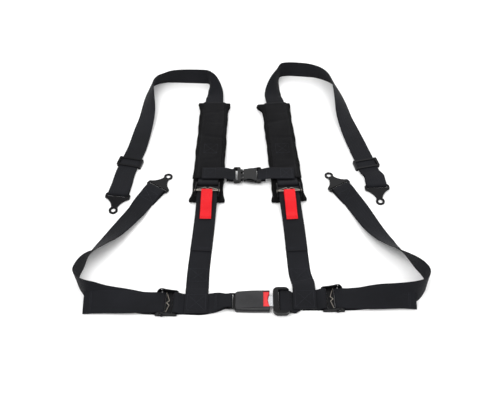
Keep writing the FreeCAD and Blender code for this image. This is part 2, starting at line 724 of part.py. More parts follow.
def inner_lap_strap(side):
    """Short lap webbing sewn to the adjuster at one end and to the buckle or tongue at the other."""
    adjuster = standing(LAP_ADJUSTERS[side])
    bar = size("fixed_bar_place")
    sewn = [(bar + 48, -BAR_LOOP), (bar + 16, -BAR_LOOP), (bar + 4, -BAR_LOOP)]
    leaving = [(bar + 3, BAR_LOOP), (bar + 8, 2.2), (bar + 13, -0.9), (bar + 17, LAYER - BAR_LOOP)]
    if side == "left":
        loop_at = Vector(INNER_LOOP_X[side], BUCKLE_Y, BUCKLE_Z)
        flat_reach = 70
        top = [(-32, -4.6), (-20, 1.6), (-10, BAR_LOOP - 0.4)]
        under = [(-10, -BAR_LOOP), (-20, -6.4), (-32, -7.4), (-38, -7.6)]
    else:
        loop_at = Vector(INNER_LOOP_X[side], BUCKLE_Y, HANDLE_BAR_Z)
        flat_reach = 50
        top = [(-30, -3.7), (-24.5, -3.5), (-21, 0.2), (-17.5, 3.9), (-8, BAR_LOOP)]
        under = [(-8, -BAR_LOOP), (-17, -BAR_LOOP), (-22, -5.0), (-31, -6.2)]
    outer = path_in_plane(adjuster, sewn + turn_round(bar, BAR_LOOP, 270, 90) + leaving
                          + [(bar + flat_reach, LAYER - BAR_LOOP)])
    buckle = Placement(loop_at, Rotation(Vector(0, 0, 1), 0 if side == "left" else 180))
    narrow = 33.0 if side == "left" else WIDTH
    inner = path_in_plane(buckle, top + turn_round(0, BAR_LOOP, 90, -90) + under, narrow)
    if side == "left":
        for section in inner:
            reach = min(max((INNER_LOOP_X[side] - section.centre.x - 10) / 26, 0), 1)
            section.width = narrow + (WIDTH - narrow) * reach
    return webbing(f"{side}_inner_lap_strap", outer + inner)


def chest_strap(side):
    """Chest webbing sewn on a pad and looped through its half of the chest clip."""
    width = size("chest_width")
    pad_top = COVER_Z + size("cover_thick") + 0.3 + THICK / 2
    if side == "left":
        clip = Placement(Vector(-40.0, CHEST_Y, CHEST_Z), Rotation())
        free = [(-81, pad_top - CHEST_Z), (-24, pad_top - CHEST_Z), (-15, 5.6), (-8, 3.2)]
    else:
        clip = Placement(Vector(21.5, CHEST_Y, CHEST_Z), Rotation(Vector(0, 0, 1), 180))
        free = [(-90, pad_top - CHEST_Z), (-27, pad_top - CHEST_Z), (-18, 6.4), (-9, 3.4)]
    radius = 2.0 + THICK / 2
    back = [(-8, -radius), (-19, -radius)]
    sections = path_in_plane(clip, free + turn_round(0, radius, 90, -90) + back, width)
    return webbing(f"{side}_chest_strap", sections)


# ---------------------------------------------------------------- shoulder pads

PADS = {
    "left": {"at": Vector(-106.0, -100.0, 0), "turn": 89.1, "length": 368.0},
    "right": {"at": Vector(96.5, -98.0, 0), "turn": 93.9, "length": 365.0},
}
COVER_START = 70.0


def pad_piece(side, label, start, bottom, thick, flare):
    """A soft flat piece with its end corners flared out, lying along the shoulder strap."""
    name = f"{side}_{label}"
    length = PADS[side]["length"]
    half = size("pad_width") / 2
    body = doc.addObject("PartDesign::Body", name)
    points = [
        (start, -half - flare), (start + 14, -half), (length - 16, -half), (length - 4, -half - flare),
        (length, -half + 6), (length, half - 6), (length - 4, half + flare), (length - 16, half),
        (start + 14, half), (start, half + flare),
    ]
    outline = sketch_on(body, "XY_Plane", f"{name}_outline", polyline(points))
    pad = padded(body, f"{name}_foam", outline, thick, midplane=False)
    doc.recompute()
    soft = body.newObject("PartDesign::Fillet", f"{name}_soft_edge")
    top = max(vertex.Point.z for vertex in pad.Shape.Vertexes)
    rim = [f"Edge{n}" for n, e in enumerate(pad.Shape.Edges, start=1) if abs(e.CenterOfMass.z - top) < 1e-6]
    soft.Base = (pad, rim)
    soft.Radius = 2.5
    body.Tip = soft
    placement = standing(PADS[side])
    placement.move(Vector(0, 0, bottom))
    body.Placement = placement
    return keep(body, name)


# ---------------------------------------------------------------- lap buckle

LEFT_END = -33.0
RIGHT_END = 42.0


def buckle_half(name, bottom, height, inset, length):
    """One moulded cover of the buckle: a shell, hollow inside and open at the mouth end."""
    half = "Sizes.buckle_width / 2"
    outer = block(f"{name}_outer", f"{length} - {inset}", f"Sizes.buckle_width - 2 * {inset}", str(height),
                  (f"{LEFT_END} + {inset}", f"{BUCKLE_Y} - {half} + {inset}", str(bottom)))
    upright = runs_along(Vector(0, 0, 1))
    shell = rounded(f"{name}_shell", outer, 6.0, lambda e: upright(e) and e.CenterOfMass.x < 0)
    return shell


def outer_edge_at(level):
    """A test for the long outer edges of the buckle's casing at one height."""
    lengthwise = runs_along(Vector(1, 0, 0))

    def test(edge):
        centre = edge.CenterOfMass
        return lengthwise(edge) and abs(centre.z - level) < 1e-3 and abs(centre.y - BUCKLE_Y) > 20

    return test


def buckle_covers():
    """The two halves of the buckle's casing, parted at the steel frame's level."""
    wall = size("buckle_wall")
    width = size("buckle_width")
    top = size("buckle_height")
    split = 9.2
    specs = {
        "buckle_lower_cover": (0.3, split - 0.3, 0.0),
        "buckle_upper_cover": (split + 0.2, top - split - 0.2, 1.2),
    }
    for name, (bottom, height, inset) in specs.items():
        shell = buckle_half(name, bottom, height, inset, "Sizes.buckle_length")
        floor = bottom + wall if name == "buckle_lower_cover" else bottom - 1
        depth = height - wall + (1 if name == "buckle_upper_cover" else 5)
        hollow = block(f"{name}_hollow", f"Sizes.buckle_length - {wall}",
                       f"{width} - 2 * ({wall} + {inset})", str(depth),
                       (f"{LEFT_END} + {wall} + {inset}", f"{BUCKLE_Y} - {width} / 2 + {wall} + {inset}",
                        str(floor)))
        hollowed = cut(f"{name}_hollowed", shell, hollow)
        if name == "buckle_lower_cover":
            mouth = block(f"{name}_neck_gap", "12", "40", "12", ("-40", f"{BUCKLE_Y} - 20", "6.2"))
        else:
            neck_gap = block(f"{name}_neck_gap", "12", "40", "5", ("-40", f"{BUCKLE_Y} - 20", "8"))
            button_gap = block(f"{name}_button_gap", "Sizes.button_length + 2", "36.8", "16",
                               (f"{RIGHT_END} - Sizes.button_length", f"{BUCKLE_Y} - 18.4", "8"))
            mouth = join(f"{name}_gaps", [neck_gap, button_gap])
        opened = cut(f"{name}_opened", hollowed, mouth)
        doc.recompute()
        level = bottom if name == "buckle_lower_cover" else top
        keep(rounded(name, opened, 1.8, outer_edge_at(level)), name)


FRAME_Z = 6.6


def buckle_frame():
    """Steel frame: a base plate, two side rails and the end loop that holds the lap webbing."""
    plate = "Sizes.frame_plate"
    base = block("frame_base", "64", "34", plate, ("-29.2", f"{BUCKLE_Y} - 17", str(FRAME_Z)))
    rails = [
        block(f"frame_rail_{end}", "48", plate, "9.4", ("-29.2", f"{BUCKLE_Y} + {start}", str(FRAME_Z)))
        for end, start in (("a", -17), ("b", 15))
    ]
    neck = [
        block(f"frame_arm_{end}", "19", "2.3", "3.6", ("-44.2", f"{BUCKLE_Y} + {start}", f"{BUCKLE_Z} - 1.8"))
        for end, start in (("a", -19.2), ("b", 16.9))
    ]
    crossbar = block("frame_loop_bar_blank", "5.2", "38.4", "4.4",
                     (f"{INNER_LOOP_X['left']} - 2.6", f"{BUCKLE_Y} - 19.2", f"{BUCKLE_Z} - 2.2"))
    bar = rounded("frame_loop_bar", crossbar, 2.0, runs_along(Vector(0, 1, 0)))
    bridge = block("frame_bridge", "4", "38.4", "2", ("-29.2", f"{BUCKLE_Y} - 19.2", f"{FRAME_Z}"))
    neck_plate = block("frame_neck_plate", "8.4", "33.8", "2.8", ("-36.6", f"{BUCKLE_Y} - 16.9", "7"))
    stops = [
        block(f"frame_spring_stop_{end}", "1.6", "6.5", "9.4", ("0", f"{BUCKLE_Y} + {start}", str(FRAME_Z)))
        for end, start in (("a", -17), ("b", 10.5))
    ]
    risers = [
        block(f"frame_riser_{end}", "4", "2.3", "5", ("-29.2", f"{BUCKLE_Y} + {start}", f"{FRAME_Z}"))
        for end, start in (("a", -19.2), ("b", 16.9))
    ]
    frame = join("buckle_frame", [base, bridge, bar, neck_plate] + rails + neck + risers + stops)
    doc.recompute()
    return keep(frame, "buckle_frame")


LATCH_X = -20.0
LATCH_Z = 13.9
EJECTOR_Z = FRAME_Z + 2.3


def buckle_mechanism():
    """Latch and its pin, ejector with its spring, and the red release button with its springs."""
    pin = rod("latch_pin_rod", "1.5", "34", (str(LATCH_X), f"{BUCKLE_Y} - 17", str(LATCH_Z)), ALONG_Y)
    pin_final = join("latch_pin",
            [pin,
                    rod("latch_pin_collar", "1.5", "1", (str(LATCH_X), f"{BUCKLE_Y} - 17.5", str(LATCH_Z)),
                        ALONG_Y)])
    keep(pin_final, "latch_pin")
    arm = block("latch_arm", "38", "20", "2", (str(LATCH_X), f"{BUCKLE_Y} - 10", f"{LATCH_Z} - 0.9"))
    hub = rod("latch_hub", "3", "26", (str(LATCH_X), f"{BUCKLE_Y} - 13", str(LATCH_Z)), ALONG_Y)
    tooth = block("latch_tooth", "4", "14", "1.6", ("13.5", f"{BUCKLE_Y} - 7", f"{LATCH_Z} - 1.9"))
    solid = join("latch_solid", [arm, hub, tooth])
    bore = rod("latch_bore", "1.56", "30", (str(LATCH_X), f"{BUCKLE_Y} - 15", str(LATCH_Z)), ALONG_Y)
    keep(cut("latch", solid, bore), "latch")
    slide = block("ejector_slide", "16", "20", "2.6", ("-6", f"{BUCKLE_Y} - 10", str(EJECTOR_Z)))
    nose = block("ejector_nose", "3", "10", "0.8", ("7", f"{BUCKLE_Y} - 5", f"{EJECTOR_Z} + 1.9"))
    keep(join("ejector", [slide, nose]), "ejector")
    spring_length = 10.5
    coil = doc.addObject("Part::Feature", "ejector_spring")
    coil.Shape = coil_spring(1.0, 0.35, spring_length, 5)
    coil.Placement = Placement(Vector(-17.2, BUCKLE_Y, EJECTOR_Z + 1.4), ALONG_X)
    keep(coil, "ejector_spring")
    face = block("button_face", "17", "36", "6.2", ("24.5", f"{BUCKLE_Y} - 18", "12.2"))
    soft = rounded("button_soft", face, 2.0, lambda e: e.CenterOfMass.x > 41)
    legs = [
        block(f"button_leg_{end}", "13.2", "2.6", "4.4", ("12", f"{BUCKLE_Y} + {start}", "13.0"))
        for end, start in (("a", -14.6), ("b", 12.0))
    ]
    keep(join("release_button", [soft] + legs), "release_button")
    for end, start in (("front", -12.9), ("rear", 12.9)):
        spring = doc.addObject("Part::Feature", f"{end}_button_spring")
        spring.Shape = coil_spring(1.3, 0.35, 8.4, 4)
        spring.Placement = Placement(Vector(2.5, BUCKLE_Y + start, 14.6), ALONG_X)
        keep(spring, f"{end}_button_spring")


def coil_spring(radius, wire, length, turns):
    """A round-wire compression spring along +Z."""
    helix = Part.makeHelix(length / turns, length, radius)
    section = Part.Wire(Part.makeCircle(wire, Vector(radius, 0, 0), Vector(0, 1, 0)))
    return Part.Wire(helix).makePipeShell([section], True, True)


def tongue():
    """Polished tongue plate and the moulded handle that the lap webbing loops through."""
    bar_x = INNER_LOOP_X["right"]
    plate = "Sizes.tongue_plate"
    blade = block("tongue_blade", "46.5", "25", plate,
                  ("10.5", f"{BUCKLE_Y} - 12.5", f"{BUCKLE_Z} - {plate} / 2"))
    upright = runs_along(Vector(0, 0, 1))
    blade_round = rounded("tongue_blade_round", blade, 4.0, lambda e: upright(e) and e.CenterOfMass.x < 20)
    window = block("tongue_window", "7", "15", "6", ("17", f"{BUCKLE_Y} - 7.5", f"{BUCKLE_Z} - 3"))
    keep(cut("tongue_plate", blade_round, window), "tongue_plate")
    thick = "Sizes.handle_thick"
    slab = block("handle_slab", "Sizes.handle_length", "Sizes.handle_width", thick,
                 ("49", f"{BUCKLE_Y} - Sizes.handle_width / 2", f"{BUCKLE_Z} - {thick} / 2"))
    slab_round = rounded("handle_round", slab, 11.0, upright)
    slot = block("handle_slot", "3.9", "51.6", "20",
                 (f"{bar_x} - 2.6 - 3.9", f"{BUCKLE_Y} - 25.8", f"{BUCKLE_Z} - 10"))
    above = block("handle_top_relief", "25", "51.6", "12",
                  (f"{bar_x} - 2.7", f"{BUCKLE_Y} - 25.8", f"{HANDLE_BAR_Z} + 2.2"))
    below = block("handle_bottom_relief", "25", "51.6", "8",
                  (f"{bar_x} - 2.7", f"{BUCKLE_Y} - 25.8", f"{HANDLE_BAR_Z} - 10.2"))
    throat = block("handle_throat", "8", "25", plate,
                   ("49", f"{BUCKLE_Y} - 12.5", f"{BUCKLE_Z} - {plate} / 2"))
    openings = join("handle_openings", [slot, above, below, throat])
    keep(cut("tongue_handle", slab_round, openings), "tongue_handle")


# ---------------------------------------------------------------- chest clip

def chest_clip():
    """Side-release clip: plug with two sprung prongs on the left, socket on the right."""
    width = "Sizes.clip_width"
    thick = "Sizes.clip_thick"
    y = CHEST_Y
    z = CHEST_Z
    base = block("plug_base", "18.6", width, thick, ("-42", f"{y} - {width} / 2", f"{z} - {thick} / 2"))
    upright = runs_along(Vector(0, 0, 1))
    base_round = rounded("plug_base_round", base, 5.0, upright)
    slot = block("plug_slot", "7.1", "39.6", "30", ("-38.6", f"{y} - 19.8", f"{z} - 15"))
    end_gap = block("plug_end_gap", "2", "39.6", "30", ("-43.4", f"{y} - 19.8", f"{z} - 15"))
    relief = [
        block(f"plug_relief_{end}", "4.6", "39.6", "8", ("-42.4", f"{y} - 19.8", start))
        for end, start in (("a", f"{z} + 1.2"), ("b", f"{z} - 9.2"))
    ]
    openings = join("plug_openings", [slot, end_gap] + relief)
    body = cut("plug_body", base_round, openings)
    spine = block("plug_guide", "26.6", "7", "4", ("-24", f"{y} - 3.5", f"{z} - 2"))
    lugs = [
        block(f"plug_lug_{end}", "5.8", "9", "1.6", ("-24", f"{y} + {start}", f"{z} + {level}"))
        for end, start, level in (("a", 8, 2.6), ("b", 8, -4.2), ("c", -17, 2.6), ("d", -17, -4.2))
    ]
    keep(join("chest_clip_plug", [body, spine] + lugs), "chest_clip_plug")
    for end, sign in (("rear", 1), ("front", -1)):
        name = f"{end}_prong"
        hinge = rod(f"{name}_hinge", "2.2", "Sizes.prong_thick",
                    ("-20.6", f"{y} + {sign * 12.5}", f"{z} - Sizes.prong_thick / 2"), Rotation())
        prong = doc.addObject("PartDesign::Body", f"{name}_arm")
        outline = polyline([
            (-20.6, y + sign * 10.4), (12.5, y + sign * 14.6), (15.0, y + sign * 19.0),
            (8.0, y + sign * 23.6),
            (-4.0, y + sign * 22.0), (-10, y + sign * 17.2), (-20.6, y + sign * 14.6),
        ])
        sketch = sketch_on(prong, "XY_Plane", f"{name}_outline", outline)
        padded(prong, f"{name}_bar", sketch, "Sizes.prong_thick")
        prong.Placement = Placement(Vector(0, 0, z), Rotation())
        keep(join(name, [prong, hinge]), name)
    socket = []
    for end, level in (("top", 2.7), ("bottom", -5.5)):
        plate = doc.addObject("PartDesign::Body", f"socket_{end}_plate")
        outline = polyline([
            (-16.5, y - 16.5), (-8, y - 17.5), (2, y - 17.5), (9, y - 20.5), (17, y - 22.0),
            (17, y + 22.0), (9, y + 20.5),
            (2, y + 17.5), (-8, y + 17.5), (-16.5, y + 16.5),
        ])
        sketch = sketch_on(plate, "XY_Plane", f"socket_{end}_outline", outline)
        padded(plate, f"socket_{end}_skin", sketch, "2.8", midplane=False)
        plate.Placement = Placement(Vector(0, 0, z + level), Rotation())
        socket.append(plate)
    frame = block("socket_frame", "13", width, thick, ("15.6", f"{y} - {width} / 2", f"{z} - {thick} / 2"))
    frame_round = rounded("socket_frame_round", frame, 5.0, upright)
    window = block("socket_slot", "4.3", "39.6", "30", ("15.8", f"{y} - 19.8", f"{z} - 15"))
    upper = block("socket_top_relief", "12", "39.6", "8", ("19.2", f"{y} - 19.8", f"{z} + 1.2"))
    lower = block("socket_bottom_relief", "12", "39.6", "8", ("19.2", f"{y} - 19.8", f"{z} - 9.2"))
    open_end = block("socket_open_end", "9", "39.6", "30", ("22.9", f"{y} - 19.8", f"{z} - 15"))
    frame_open = cut("socket_frame_open", frame_round,
                     join("socket_openings", [window, upper, lower, open_end]))
    ribs = [
        block(f"socket_rib_{end}", "12", "2.4", "8.4", ("3.4", f"{y} + {start}", f"{z} - 4.2"))
        for end, start in (("a", 4.2), ("b", -6.6))
    ]
    keep(join("chest_clip_socket", socket + [frame_open] + ribs), "chest_clip_socket")


# ---------------------------------------------------------------- the whole harness


for side in ("left", "right"):
    shoulder_strap(side)
    lower_strap(side)
    lap_strap(side)
    inner_lap_strap(side)
    chest_strap(side)
    slider(side)
    pad_piece(side, "pad_cushion", 0.0, 0.0, "Sizes.cushion_thick", 3.0)
    pad_piece(side, "pad_cover", COVER_START, COVER_Z, "Sizes.cover_thick", 1.0)
    shoulder = standing(SHOULDER_ADJUSTERS[side])
    lap = standing(LAP_ADJUSTERS[side])
    for place, placement in (("shoulder", shoulder), ("lap", lap)):
        adjuster_frame(f"{side}_{place}_adjuster", placement)
        lock_bar(f"{side}_{place}_lock_bar", placement)
        wire_spring(f"{side}_{place}_spring", placement)
    tab_pin(f"{side}_tab_pin", shoulder)
    pull_tab(f"{side}_pull_tab", shoulder)
for place in BRACKETS:
    anchor_bracket(place)
buckle_covers()
buckle_frame()
buckle_mechanism()
tongue()
chest_clip()

doc.recompute()

for item in doc.Objects:
    if "Invalid" in item.State or "Error" in item.State:
        raise RuntimeError(f"{item.Label} failed: {item.State}")
for node in parts:
    if node.Shape.isNull() or not node.Shape.isValid():
        raise RuntimeError(f"{node.Label} has no valid shape")
    if len(node.Shape.Solids) != 1:
        raise RuntimeError(f"{node.Label} has {len(node.Shape.Solids)} solids")

os.makedirs("parts", exist_ok=True)
for node in parts:
    node.Shape.exportStep(f"parts/{node.Label}.step")
box = parts[0].Shape.BoundBox
for node in parts[1:]:
    box.add(node.Shape.BoundBox)
print(f"{len(parts)} parts, X {box.XMin:.2f} {box.XMax:.2f}, Y {box.YMin:.2f} {box.YMax:.2f}, Z {box.ZMin:.2f} {box.ZMax:.2f}")
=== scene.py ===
"""Looks of the four-point racing harness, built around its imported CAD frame.

Straps and pads are laid out in millimetres.  Meshes, mouldings, weaves, lights and the camera
are in metres.
"""
import json
import math

import bmesh
import bpy
import numpy as np
from mathutils import Matrix, Vector


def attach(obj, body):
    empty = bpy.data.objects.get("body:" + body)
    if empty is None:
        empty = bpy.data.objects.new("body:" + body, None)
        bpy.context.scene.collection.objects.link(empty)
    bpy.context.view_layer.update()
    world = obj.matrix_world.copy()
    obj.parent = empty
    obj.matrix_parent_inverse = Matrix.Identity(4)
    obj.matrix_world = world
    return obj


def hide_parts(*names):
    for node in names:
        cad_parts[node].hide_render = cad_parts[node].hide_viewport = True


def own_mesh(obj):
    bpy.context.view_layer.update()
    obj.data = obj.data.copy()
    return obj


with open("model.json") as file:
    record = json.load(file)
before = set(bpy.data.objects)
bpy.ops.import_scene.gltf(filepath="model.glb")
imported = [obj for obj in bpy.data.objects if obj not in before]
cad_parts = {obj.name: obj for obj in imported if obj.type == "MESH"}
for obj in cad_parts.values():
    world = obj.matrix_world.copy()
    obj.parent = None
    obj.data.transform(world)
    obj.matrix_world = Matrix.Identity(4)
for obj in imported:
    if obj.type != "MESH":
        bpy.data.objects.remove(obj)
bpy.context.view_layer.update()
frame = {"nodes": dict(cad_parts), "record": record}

MM = 0.001
THICK = 1.6
LAYER = 2.0
FLAT = THICK / 2
WIDTH = 50.0
SECTION_SPACING = 3.0
FLOOR_GAP = 0.05
BAR_LOOP = 3.5 + THICK / 2
PLATE_LOOP = 3.8 + THICK / 2
LOCK_PLACE = 9.5
SEWN_BAR_PLACE = 36.0


def at(x, y, z):
    """A point, in millimetres."""
    return Vector((x, y, z))


# ---------------------------------------------------------------- where the webbing lies

LAP_LEFT_Y = -385.0
LAP_RIGHT_Y = -375.0
BUCKLE_Y = -383.0
BUCKLE_Z = 10.6
CHEST_Y = -16.0
CHEST_Z = 13.0

PAD_SEAT_Z = 16.0
COVER_Z = 15.3

# A shoulder adjuster: its place on the pad and the way its strap runs.
SHOULDER_ADJUSTERS = {
    "left": {"at": at(-105.3, -85.0, PAD_SEAT_Z), "turn": 89.1},
    "right": {"at": at(96.5, -86.0, PAD_SEAT_Z), "turn": 93.5},
}
# A lap adjuster stands on the surface, with its sewn end towards the buckle.
LAP_ADJUSTERS = {
    "left": {"at": at(-196.0, LAP_LEFT_Y, FLAT + BAR_LOOP), "turn": 0.0},
    "right": {"at": at(196.0, LAP_RIGHT_Y, FLAT + BAR_LOOP), "turn": 180.0},
}
# An anchor bracket: the middle of its slot bar and the way its eye points.
BRACKET_Z = FLAT + PLATE_LOOP
BRACKETS = {
    "left_shoulder": {"at": at(-326.0, -73.5, BRACKET_Z), "turn": -97.0},
    "right_shoulder": {"at": at(317.5, -44.5, BRACKET_Z), "turn": -86.5},
    "left_lap": {"at": at(-234.5, -54.0, BRACKET_Z), "turn": 58.0},
    "right_lap": {"at": at(227.0, -50.0, BRACKET_Z), "turn": 121.0},
}
# Centre lines of the loose webbing.  Each station is x, y, z and the lean of the webbing:
# 0 or 180 is flat, 90 or 270 stands on its edge.  The right side is given mirrored in X.
SHOULDER_RUN = {
    "left": [
        (-103.8, 20, 13.9, 0), (-102.5, 120, 13.6, 0), (-101, 258, 13.2, 0), (-101, 282, 12.9, 4),
        (-101, 310, 12.7, 25), (-107.5, 340, 20.6, 55), (-114.5, 358, 24.8, 80), (-122, 367.5, 25, 90),
        (-137, 370.5, 25, 90), (-190, 372.5, 25, 92), (-226, 371, 24.9, 98), (-250, 366, 24.0, 108),
        (-271, 356, 23.5, 112), (-282.5, 341, 23.1, 114), (-287.5, 326, 22.7, 117),
        (-288.6, 297, 20.0, 128), (-287.8, 267, 16.9, 139), (-286.5, 237, 12.9, 151),
        (-287.5, 205, 9.2, 161), (-292, 160, 6.4, 174), (-298, 100, 6.0, 180), (-304.5, 66, 6.0, 180),
        (-311, 36, 6.0, 180), (-317.5, 6, 6.0, 180), (-320.5, -18, 6.6, 180),
    ],
    "right": [
        (-90.4, 20, 13.9, 0), (-84.5, 120, 13.6, 0), (-73, 254, 13.2, 0), (-69, 280, 12.9, 4),
        (-66.5, 303, 12.6, 16), (-71.5, 336, 19.6, 49), (-80.5, 370, 24.8, 80), (-87, 395, 25, 90),
        (-97, 404, 25, 90), (-123, 406.6, 25, 90), (-162, 402.5, 25, 91), (-190, 396, 25, 97),
        (-212, 385, 24.6, 102), (-231, 368, 23.8, 110), (-243, 347, 22.6, 117), (-250, 321, 20.8, 125),
        (-257, 271, 16.5, 140), (-262, 217, 10.4, 157), (-271, 168, 6.4, 172), (-281, 119, 6.0, 180),
        (-291, 75, 6.0, 180), (-301, 31, 6.0, 180), (-306, 6, 6.0, 180),
    ],
}
LAP_RUN = {
    "left": [
        (-225, -384, 3.4, 186), (-261, -379, 7.2, 194), (-312, -374, 13.3, 210),
        (-340, -367, 21, 235), (-358, -357, 24.8, 258), (-372, -344, 25.2, 268), (-380, -328, 25.2, 272),
        (-378, -310, 25.2, 270), (-372, -293, 25.1, 265), (-364.5, -277, 24.4, 252),
        (-356.5, -263, 21.8, 236), (-349.7, -250.5, 19.4, 228), (-341, -237.7, 17.2, 221),
        (-331.6, -224, 14.8, 214), (-322, -210, 11.8, 206), (-305, -181, 8.1, 197), (-278.4, -135, 5.2, 189),
    ],
    "right": [
        (-235, -374, 6.0, 191), (-279, -371, 13, 208), (-320, -371, 18, 223),
        (-352, -367, 22.6, 240), (-373, -355.5, 25, 260), (-384, -342, 25.2, 268), (-387, -326, 25.2, 270),
        (-380, -309, 25.2, 268), (-369, -294, 25, 262), (-356, -278, 24.2, 250), (-343, -262, 22.1, 237),
        (-334, -249.5, 19.8, 228), (-323.7, -236.7, 17, 219), (-314.6, -222.5, 13.9, 210),
        (-305.5, -208.5, 11.1, 203), (-290, -178.5, 6.8, 192.5), (-272, -135, 3.6, 184),
    ],
}
# The loose end of each lap belt, from its hem back towards the adjuster.
LAP_TAIL = {
    "left": [(-354.5, -387, 12.5, -21), (-320, -386.5, 14.5, -23), (-270, -386.5, 13.0, -14),
             (-232, -385, 9.8, -4)],
    "right": [(-355, -377, 15.0, -28), (-320, -376.5, 18.0, -28), (-270, -377, 15.5, -20),
              (-232, -375, 10.4, -6)],
}
# The loose end of each shoulder adjuster's strap, from its hem up to the adjuster, and the
# loaded strap below it, from the adjuster down to the lap belt.
LOWER_TAIL = {
    "left": [(-112.5, -245, 3.2, 0), (-109.5, -190, 4.4, 0), (-107.0, -140, 9.3, 0), (-105.9, -110, 15.4, 0)],
    "right": [(-107.5, -245, 3.2, 0), (-105, -190, 4.4, 0), (-101, -140, 9.3, 0), (-98.2, -110, 15.4, 0)],
}
LOWER_RUN = {
    "left": [(-106.0, -112, 10.9, 180), (-107.2, -140, 6.0, 180), (-109.5, -190, 0.9, 180),
             (-112.5, -245, 0.8, 180), (-115, -300, 0.9, 180), (-115, -341, 2.6, 180),
             (-115, -357, 4.9, 180), (-115, -408, 4.9, 180)],
    "right": [(-98.4, -112, 10.9, 180), (-101.2, -140, 6.0, 180), (-105, -190, 0.9, 180),
              (-107.5, -245, 0.8, 180), (-110.5, -300, 0.9, 180), (-114, -322, 2.2, 180),
              (-117, -342, 7.0, 180), (-117, -400, 7.0, 180)],
}
GLIDES = {
    "left": {"at": at(-311.0, 36.0, 0), "turn": -102.3},
    "right": {"at": at(301.0, 31.0, 0), "turn": -77.2},
}
INNER_LOOP_X = {"left": -42.5, "right": 67.0}
HANDLE_BAR_Z = 8.4
PADS = {
    "left": {"at": at(-106.0, -100.0, 0), "turn": 89.1, "length": 368.0},
    "right": {"at": at(96.5, -98.0, 0), "turn": 93.9, "length": 365.0},
}
COVER_START = 70.0

# ---------------------------------------------------------------- webbing paths

class Section:
    """One cross-section of webbing: centre, way across, way out of its face, and width."""

    def __init__(self, centre, across, normal, width):
        self.centre = centre
        self.across = across
        self.normal = normal
        self.width = width


def blend_station(stations, place):
    """A smooth point between stations, by a cubic through them with matched slopes."""
    last = len(stations) - 1
    index = min(int(place), last - 1)
    part = place - index
    before, start, end, after = (stations[min(max(index + step, 0), last)] for step in (-1, 0, 1, 2))
    result = []
    for a, b, c, d in zip(before, start, end, after):
        slope_in = (c - a) / 2
        slope_out = (d - b) / 2
        cubic = (2 * b - 2 * c + slope_in + slope_out) * part ** 3
        square = (3 * c - 3 * b - 2 * slope_in - slope_out) * part ** 2
        result.append(cubic + square + slope_in * part + b)
    return result


def free_run(stations, per_station=6):
    """Webbing that lies freely, as sections through a list of stations."""
    count = (len(stations) - 1) * per_station
    points = [blend_station(stations, step / per_station) for step in range(count + 1)]
    sections = []
    for step, (x, y, z, lean) in enumerate(points):
        along = at(*points[min(step + 1, count)][:3]) - at(*points[max(step - 1, 0)][:3])
        along.normalize()
        beside = at(along.y, -along.x, 0).normalized()
        angle = math.radians(lean)
        across = beside * math.cos(angle) + at(0, 0, math.sin(angle))
        normal = across.cross(along).normalized()
        lowest = WIDTH / 2 * abs(across.z) + FLAT * abs(normal.z)
        sections.append(Section(at(x, y, max(z, lowest)), across, normal, WIDTH))
    return sections


def path_in_plane(placement, points, width=WIDTH):
    """Webbing that follows (along, up) points in a fitting's own upright plane."""
    turn = placement.to_3x3()
    across = turn @ at(0, 1, 0)
    sections = []
    for step, (along, up) in enumerate(points):
        behind = points[max(step - 1, 0)]
        ahead = points[min(step + 1, len(points) - 1)]
        heading = (turn @ at(ahead[0] - behind[0], 0, ahead[1] - behind[1])).normalized()
        centre = placement @ at(along, 0, up)
        sections.append(Section(centre, across.copy(), across.cross(heading).normalized(), width))
    return sections


def turn_round(along, radius, start, end, steps=8):
    """Points of a turn round a bar, by angle from the fitting's +X axis."""
    angles = [math.radians(start + (end - start) * step / steps) for step in range(steps + 1)]
    return [(along + radius * math.cos(angle), radius * math.sin(angle)) for angle in angles]


def mirrored(sections):
    for section in sections:
        for vector in (section.centre, section.across, section.normal):
            vector.x = -vector.x
    return sections


def on_side(side, sections):
    return mirrored(sections) if side == "right" else sections


def standing_at(centre, turn):
    """A place in the harness, turned about the vertical, as a matrix."""
    return Matrix.Translation(centre) @ Matrix.Rotation(math.radians(turn), 4, "Z")


def standing(spec):
    return standing_at(spec["at"], spec["turn"])


def resampled(rows, centres):
    """Rows at close, even spacing, by a cubic whose slopes follow the distance between centres."""
    gaps = np.linalg.norm(np.diff(centres, axis=0), axis=1).reshape(-1, 1)
    rises = np.diff(rows, axis=0) / gaps
    inner_slopes = (rises[1:] * gaps[:-1] + rises[:-1] * gaps[1:]) / (gaps[1:] + gaps[:-1])
    slopes = np.vstack([rises[:1], inner_slopes, rises[-1:]])
    smooth = []
    for index, gap in enumerate(gaps[:, 0]):
        count = max(1, math.ceil(gap / SECTION_SPACING))
        for step in range(count):
            t = step / count
            start = (2 * t ** 3 - 3 * t ** 2 + 1) * rows[index]
            leaving = (t ** 3 - 2 * t ** 2 + t) * gap * slopes[index]
            end = (3 * t ** 2 - 2 * t ** 3) * rows[index + 1]
            arriving = (t ** 3 - t ** 2) * gap * slopes[index + 1]
            smooth.append(start + leaving + end + arriving)
    smooth.append(rows[-1])
    return np.array(smooth)


